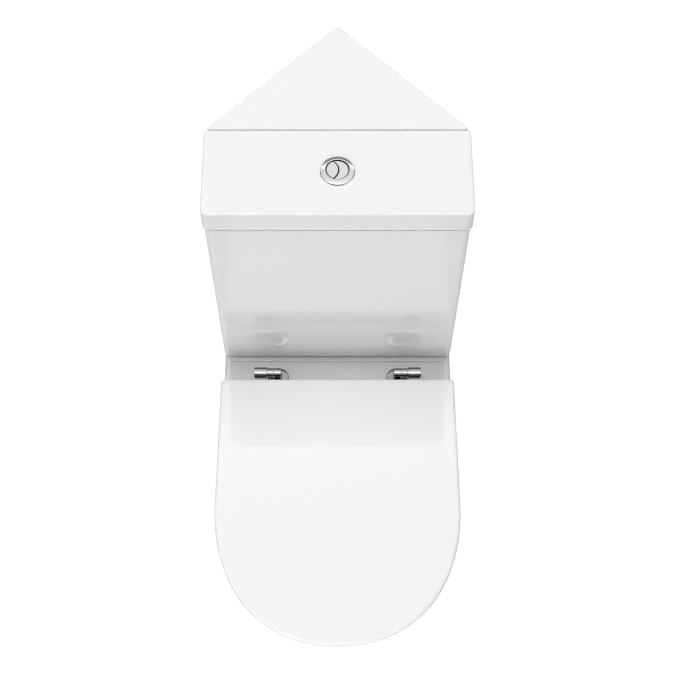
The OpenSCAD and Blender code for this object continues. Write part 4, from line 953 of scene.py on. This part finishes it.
def make_springs():
    """Two coil springs under the button."""
    coils, per_turn, wire_r = 5, 36, SPRING_WIRE / 2
    # The end coils lie nearly flat, and the rest climb evenly
    flat, flat_rise = 0.1, 0.2 * SPRING_WIRE
    for half, x in (("half", HALF_ROD_X), ("full", FULL_ROD_X)):
        sections = []
        for i in range(coils * per_turn + 1):
            a, t = 2 * math.pi * i / per_turn, i / (coils * per_turn)
            rise = min(1, max(0, (t - flat) / (1 - 2 * flat)))
            z = mix(SPRING_LOW + wire_r, BUTTON_LOW - wire_r, rise) + flat_rise * (t - rise)
            sections.append([
                ((SPRING_R + wire_r * math.cos(b)) * math.cos(a) + x,
                 (SPRING_R + wire_r * math.cos(b)) * math.sin(a) + VALVE_Y,
                 z - wire_r * math.sin(b))
                for b in turns(12)
            ])
        spring = dressed(loft("spring", sections), half + "_button_spring")
        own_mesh(spring)


# ---------------- fixings and rubber parts

PAD_W, PAD_D, PAD_INSET = 60, 45, 15
BRACKET_X, BRACKET_W, BRACKET_T, BRACKET_H = FOOT_W / 2 - PAN_WALL - 0.3, 40, 4, SIDE_SCREW_H + 14
BRACKET_INNER_X, FLOOR_HOLE_X, FLOOR_HOLE_R = 60, 76, 4.2
CAP_X, CAP_R, CAP_H = FOOT_W / 2 + 0.3, 9, 5
WASHER_H, BOLT_SEAL_H = 2, 4
BUMPER_RADII = {"ring_bumpers": 8, "lid_bumpers": 6}


def washer(name, outer, inner, low, high, at, edge=0.5, steps=64):
    """A flat ring with rounded edges."""
    profile = [(inner, low + edge), (inner + edge, low), *wall(outer, low, high, edge, edge, 4),
               (inner + edge, high), (inner, high - edge)]
    return revolve(name, profile, at, steps=steps, ring=True)


def hex_nut(name, r, bore, low, high, at, pitch, depth):
    """A six-sided nut with chamfered corners and a threaded bore."""
    chamfer, over = 0.14 * r, 0.1
    nut = combined(
        cylinder(name, r, low, high, at, steps=6), "INTERSECT",
        revolve("chamfer", [(r - chamfer, low), (r + over, low + chamfer * 0.6), (r + over, high - chamfer * 0.6),
                            (r - chamfer, high)], at, steps=72),
    )
    return cut(nut, threaded_bore(bore, low, high, at, pitch, depth))


def make_pan_fixings():
    y, z, t = FLOOR_SCREW_Y, SIDE_SCREW_H, BRACKET_T
    near, far, sunk_r = y - BRACKET_W / 2, y + BRACKET_W / 2, FLOOR_HOLE_R + 2
    bracket = box("bracket", (BRACKET_INNER_X, near, 0), (BRACKET_X, far, t), 0.8)
    added(bracket, box("upright", (BRACKET_X - t, near, 0), (BRACKET_X, far, BRACKET_H), 0.8))
    cut(
        bracket,
        revolve("hole", [(FLOOR_HOLE_R, -OVER), (FLOOR_HOLE_R, t - 1.6), (sunk_r, t + 0.4), (sunk_r, t + OVER)],
                (FLOOR_HOLE_X, y, 0)),
        cylinder("side_hole", SIDE_SCREW_R + FIT, BRACKET_X - t - OVER, BRACKET_X + OVER, SIDE_SCREW_AT, "X"),
    )
    dressed(both_sides(bracket), "floor_brackets")

    low, point, head_r, head_h = BRACKET_X - 2 * t, 2, 6, 3
    dome = [(head_r * (1 - c), CAP_X + head_h * s) for s, c in quarter(8)]
    side = revolve("side_screw", [(1, low), (SIDE_SCREW_R, low + point), (SIDE_SCREW_R, CAP_X), *dome],
                   SIDE_SCREW_AT, "X", 40, thread=(low + point, CAP_X, 1.6, 0.6))
    narrow, wide = 0.5, 3.8
    cut(side, *[box("slot", (CAP_X + 1.4, y - u, z - v), (CAP_X + head_h + OVER, y + u, z + v))
                for u, v in ((wide, narrow), (narrow, wide))])
    dressed(both_sides(side), "side_screws")

    hollow_r, hollow_h, fullness = 6.4, 3.3, 0.6
    shell = [(CAP_R * (1 - c) ** fullness, CAP_H * s) for s, c in quarter(10)[:-1]]
    profile = [(CAP_R - 0.3, 0), *shell, (0, CAP_H), (0, hollow_h), (hollow_r, hollow_h), (hollow_r, 0)]
    cap = revolve("cap", [(r, CAP_X + h) for r, h in profile], SIDE_SCREW_AT, "X", ring=True)
    dressed(both_sides(cap), "screw_caps")


def make_cistern_fixings():
    under, nut_h = DECK_UNDER - WASHER_H, 9
    nut = wing_nut("nut", BOLT_R, nut_h, (0, 0, 0))
    turn_quarter(nut, (BOLT_X, VALVE_Y, under))
    dressed(both_sides(nut), "cistern_wing_nuts")

    low, head, head_r, head_h = under - nut_h - 12, FLOOR_Z + BOLT_SEAL_H + WASHER_H, 2 * BOLT_R, 6
    thread_top = low + 45
    shank = revolve("bolt", [(BOLT_R - 1, low), (BOLT_R, low + 1), (BOLT_R, thread_top), (BOLT_R, head + 1)],
                    BOLT_AT, steps=40, thread=(low + 1, thread_top, 1.25, 0.6))
    hexagon = combined(
        cylinder("hexagon", head_r, head, head + head_h, BOLT_AT, steps=6), "INTERSECT",
        revolve("chamfer", [(head_r - 0.8, head), (head_r + 0.1, head + 0.5), (head_r + 0.1, head + head_h - 1.4),
                            (head_r - 1.4, head + head_h)], BOLT_AT),
    )
    dressed(both_sides(added(shank, hexagon)), "cistern_bolts")

    seal_r, seal_top = 13.6, FLOOR_Z + BOLT_SEAL_H
    seal = revolve("seal", [
        (BOLT_R + FIT, FLOOR_Z), (seal_r - 0.8, FLOOR_Z), (seal_r, FLOOR_Z + 0.8), (seal_r - 0.6, FLOOR_Z + 2.4),
        (seal_r - 3.6, seal_top), (BOLT_R + FIT, seal_top),
    ], BOLT_AT, ring=True)
    dressed(both_sides(seal), "bolt_seals")
    dressed(joined("washers", *[
        both_sides(washer("washer", 3 * BOLT_R, BOLT_R + FIT, z, z + WASHER_H, BOLT_AT, 0.4))
        for z in (seal_top, under)
    ]), "bolt_washers")

    inner, front = BOLT_X + PAD_INSET, LID_FRONT_Y + PAD_INSET
    pad = box("pad", (inner, front, PLATFORM_Z), (inner + PAD_W, front + PAD_D, CISTERN_Z), 0.9)
    dressed(both_sides(pad), "rest_pads")

    # The gasket is a ribbed sleeve; its wide upper hollow takes the valve's backnut
    outer, bead, base_r, bore, edge = 48, 1.2, 46, 30, 1
    nut_room, waist = NUT_R + 1, CISTERN_Z - NUT_H - 1
    beads = [(outer - bead * (k % 2), mix(RECESS_Z + 2, CISTERN_Z - 2, k / 8)) for k in range(9)]
    gasket = revolve("gasket", [
        (bore, RECESS_Z + edge), (bore + edge, RECESS_Z), (base_r, RECESS_Z), *beads, (base_r, CISTERN_Z),
        (nut_room + edge, CISTERN_Z), (nut_room, CISTERN_Z - edge), (nut_room, waist + edge),
        (nut_room - edge, waist), (bore + edge, waist), (bore, waist - edge),
    ], VALVE_AT, steps=96, ring=True)
    dressed(gasket, "flush_gasket")


def turn_quarter(obj, at):
    """Turns a mesh made about the origin a quarter round Z and moves it to its place."""
    for vert in obj.data.vertices:
        x, y, z = vert.co
        vert.co = Vector((-y, x, z)) + Vector(at) * MM


def make_bumpers():
    """Rubber feet under the ring and under the lid, each with a rounded tip and a moulded collar."""
    tip, collar = 2, 0.2
    for node, low, high in (("ring_bumpers", DECK, RING_LOW), ("lid_bumpers", RING_TOP, SEAT_TOP - SEAT_WALL)):
        r = BUMPER_RADII[node]
        profile = [(r - collar - tip * (1 - s), low + tip * c) for s, c in quarter(6)]
        profile += [(r - collar, high - tip - collar), (r, high - tip), (r, high)]
        feet = [both_sides(revolve("foot", profile, (x, y, 0), steps=40)) for x, y in BUMPERS]
        dressed(joined(node, *feet), node)


# ---------------- flush valve and fill valve

NUT_R, NUT_H = 40, 10
TAIL_R, TAIL_L, TAIL_WALL = 29, 25, 4
FLANGE_R, FLANGE_Z, VALVE_DECK = 43, FLOOR_Z + 3, FLOOR_Z + 8
TUBE_R, CORE_SEAL_R, CORE_SEAL_H = 11, 33, 4
LOCKNUT_R, LOCKNUT_H = 28, 9
SHANK_R, SHANK_L, HOSE_L, RISER_R = 10.4, 40, 25, 10
FILL_TOP = FLOOR_Z + 300
FILL_HEAD, FILL_CAP_R = FILL_TOP - 34, 14
FLOAT_R, FLOAT_H, FLOAT_TOP = 30, 80, FILL_TOP - 44
LINK_X, ARM_PIVOT_X, ARM_PIVOT_Z, ARM_PIN_R = -44, -20, FILL_TOP - 10, 1.5


def make_valve_base():
    bore, low, edge = TAIL_R - TAIL_WALL, CISTERN_Z - TAIL_L, 0.8
    base = revolve("base", [
        (bore, low), (TAIL_R - edge, low), (TAIL_R, low + edge), (TAIL_R, CISTERN_Z), (TAIL_R, FLANGE_Z),
        *wall(FLANGE_R, FLANGE_Z, VALVE_DECK, 0.6, 0.6, 1), (bore + 3, VALVE_DECK), (bore + 2.6, VALVE_DECK + 1.2),
        (bore + 1.5, VALVE_DECK + 2), (bore, VALVE_DECK + 1.4),
    ], VALVE_AT, steps=96, ring=True, thread=(low + edge, CISTERN_Z, 3, 1.1))
    dressed(base, "valve_base")
    dressed(washer("valve_washer", FLANGE_R - 1, TAIL_R + 2, FLOOR_Z, FLANGE_Z, VALVE_AT, 1), "valve_washer")

    low, top, notch = CISTERN_Z - NUT_H, CISTERN_Z, 4
    nut = revolve("nut", [(TAIL_R + FIT, low), *wall(NUT_R, low, top, 1, 1, 1), (TAIL_R + FIT, top)],
                  VALVE_AT, steps=96, ring=True)
    notches = around(VALVE_AT, 8, (NUT_R - notch, -notch, low - OVER), (NUT_R + OVER, notch, top - notch), 0.8)
    dressed(cut(nut, *notches), "valve_backnut")
    ceiling = HEIGHT - LID_TOP_T
    locknut = hex_nut("locknut", LOCKNUT_R, BARREL_THREAD_R + FIT, ceiling - LOCKNUT_H, ceiling, VALVE_AT, 2.5, 0.7)
    dressed(locknut, "bezel_locknut")
    seal_z = VALVE_DECK + 2
    dressed(washer("core_seal", CORE_SEAL_R, TUBE_R + FIT, seal_z, seal_z + CORE_SEAL_H, VALVE_AT, 1.2, 96),
            "core_seal")


def make_fill_valve():
    low, flange, head, top, cap_r = CISTERN_Z - SHANK_L, FLOOR_Z + 3, FILL_HEAD, FILL_TOP, FILL_CAP_R
    bore, groove, flange_r, flange_h, edge = SHANK_R - 4, low + HOSE_L, 20, 6, 0.8
    valve = revolve("valve", [
        # The shank, with a groove between the hose's thread and the backnut's
        (bore, low), (SHANK_R - 1, low), (SHANK_R, low + 1), (SHANK_R, groove - 1), (SHANK_R - edge, groove),
        (SHANK_R - edge, groove + 2), (SHANK_R, groove + 3), (SHANK_R, flange),
        # The flange and the riser
        *wall(flange_r, flange, flange + flange_h, 0.6, 0.6, 1), (13, flange + flange_h), (RISER_R, flange + 9),
        (RISER_R, head),
        # The head and its cap
        (cap_r - edge, head), (cap_r, head + edge), (cap_r, head + 7), (cap_r - edge, head + 7.6),
        (cap_r - edge, head + 9), (cap_r, head + 9.6), (cap_r, top - 21), (cap_r - 0.6, top - 20),
        (cap_r - 0.6, top - 3), (cap_r - 1.5, top), (0, top), (0, head + 4), (bore, head),
    ], FILL_AT, steps=72, ring=True, thread=(low + 1, groove - 1, 1.8, 0.8))
    ribs = around(FILL_AT, 18, (cap_r - 1, -0.8, top - 20), (cap_r, 0.8, top - 5), 0.25)
    ears = [box("ear", (-24, y - 1.5, ARM_PIVOT_Z - 5), (-9, y + 1.5, ARM_PIVOT_Z + 5), 0.8)
            for y in (FILL_Y - 5, FILL_Y + 5)]
    added(valve, *ears, *ribs)
    cut(valve, cylinder("bore", ARM_PIN_R + FIT, FILL_Y - 7, FILL_Y + 7, (ARM_PIVOT_X, 0, ARM_PIVOT_Z), "Y", 24))
    dressed(valve, "fill_valve")
    dressed(washer("fill_washer", flange_r - 1, SHANK_R + FIT, FLOOR_Z, flange, FILL_AT, 0.8), "fill_washer")
    backnut = hex_nut("backnut", SHANK_R + 6, SHANK_R + FIT, CISTERN_Z - 8, CISTERN_Z, FILL_AT, 1.8, 0.6)
    dressed(backnut, "fill_backnut")


def make_float():
    low, bore, edge, seam, groove = FLOAT_TOP - FLOAT_H, RISER_R + 0.5, 5, FLOAT_TOP - 22, 0.8
    steps = 8
    outside = wall(FLOAT_R, low, FLOAT_TOP, edge, edge, steps)
    seam_rows = [(FLOAT_R, seam - 1.4), (FLOAT_R - groove, seam - 1), (FLOAT_R - groove, seam + 1),
                 (FLOAT_R, seam + 1.4)]
    cup = revolve("float", [
        (bore, low + 1), (bore + 1, low), *outside[:steps + 1], *seam_rows, *outside[steps + 1:],
        (bore + 1, FLOAT_TOP), (bore, FLOAT_TOP - 1),
    ], FILL_AT, steps=96, ring=True)
    half_w, rod_gap = 4, 0.4
    added(
        cup,
        box("bracket", (LINK_X - half_w, FILL_Y - half_w, FLOAT_TOP - 5), (3 - FLOAT_R, FILL_Y + half_w, FLOAT_TOP), 1),
        rod("link", ROD_R, FLOAT_TOP - 2, ARM_PIVOT_Z - 2 - rod_gap, (LINK_X, FILL_Y, 0), "Z", 0.4, ROD_R, 32),
    )
    dressed(cup, "float")


make_pan()
make_cistern()
make_cistern_lid()
make_corner_cover()
make_seat_ring()
make_seat_lid()
make_hinge_posts()
make_ring_knuckles()
make_lid_barrels()
make_hinge_fixings()
make_bezel()
make_button("half_button", lens, BUTTON_TOP)
make_button("full_button", crescent, BUTTON_TOP - FULL_LOWER)
make_springs()
make_pan_fixings()
make_cistern_fixings()
make_bumpers()
make_valve_base()
make_fill_valve()
make_float()

# Every CAD node that is still shown gets softened edges and its finish too
for name, node in frame["nodes"].items():
    if not node.hide_render:
        node.modifiers.new("weld", "WELD").merge_threshold = 1e-5
        bevel = node.modifiers.new("edges", "BEVEL")
        bevel.width, bevel.segments, bevel.limit_method = 0.35 * MM, 2, "ANGLE"
        bevel.angle_limit, bevel.use_clamp_overlap = math.radians(50), False
        finish_surface(node, slot_of[name], 35)


# ---------------- stage; its lengths are metres

FRAME_PX, FOCAL_PX, SENSOR_MM, CAMERA_PITCH = 675, 1560, 36, 60.92


def make_floor():
    """A white floor that keeps the object's shadow."""
    floor = box("floor", (-8000, -8000, -20), (8000, 8000, 0))
    material = bpy.data.materials.new("floor")
    material.use_nodes = True
    tree = material.node_tree
    tree.nodes.clear()
    diffuse = add_node(tree, "BsdfDiffuse", {"Color": (0.8, 0.8, 0.8, 1)})
    white = add_node(tree, "Emission", {"Strength": 1.3})
    seen = math_node(tree, "MULTIPLY", add_node(tree, "LightPath").outputs["Is Camera Ray"], 0.65)
    blend = add_node(tree, "MixShader", {0: seen, 1: diffuse.outputs["BSDF"], 2: white.outputs["Emission"]})
    add_node(tree, "OutputMaterial", {"Surface": blend.outputs["Shader"]})
    floor.data.materials.append(material)


def make_world(level, gloss):
    """Even light on the object, and plain white to the camera and in reflections."""
    world = bpy.data.worlds.new("studio")
    bpy.context.scene.world = world
    world.use_nodes = True
    tree = world.node_tree
    path = add_node(tree, "LightPath").outputs
    seen = math_node(tree, "MULTIPLY", path["Is Camera Ray"], 1 - level)
    mirrored = math_node(tree, "MULTIPLY", path["Is Glossy Ray"], gloss - level)
    strength = math_node(tree, "ADD", math_node(tree, "ADD", seen, mirrored), level)
    background = tree.nodes["Background"]
    tree.links.new(strength, background.inputs["Strength"])
    background.inputs["Color"].default_value = (1, 1, 1, 1)


def area_light(name, location, target, size, radiance):
    """A square softbox that faces the target, and that no reflection shows."""
    light = bpy.data.lights.new(name, "AREA")
    light.shape, light.size = "SQUARE", size
    light.energy = radiance * math.pi * size ** 2
    obj = placed(name, light)
    obj.visible_glossy = False
    obj.location = location
    obj.rotation_euler = (Vector(target) - Vector(location)).to_track_quat("-Z", "Y").to_euler()


make_floor()
make_world(level=0.06, gloss=1.7)
for name, location, size, radiance in (
    ("softbox_above", (0, -0.2, 3.3), 1.6, 2.5),
    ("softbox_rear", (0, 0.6, 3.4), 1.2, 7.1),
    ("softbox_behind", (0, 1.3, 3.0), 2.4, 0.8),
    ("softbox_front", (0, -2.9, 1.8), 1.2, 1.4),
    ("softbox_low", (0, -3.0, 1.0), 2.0, 3.6),
    ("softbox_left", (-2.6, -0.6, 1.6), 2.0, 1.6),
    ("softbox_right", (2.6, -0.6, 1.6), 2.0, 0.5),
):
    area_light(name, location, (0, 0, 0.5), size, radiance)

camera_data = bpy.data.cameras.new("camera")
camera_data.sensor_width = SENSOR_MM
camera_data.lens = FOCAL_PX / FRAME_PX * SENSOR_MM
camera = placed("camera", camera_data)
camera.location = (0, -1.0836, 2.555)
camera.rotation_euler = (math.radians(90 - CAMERA_PITCH), 0, 0)
bpy.context.scene.camera = camera
bpy.context.scene.view_settings.view_transform = "Standard"
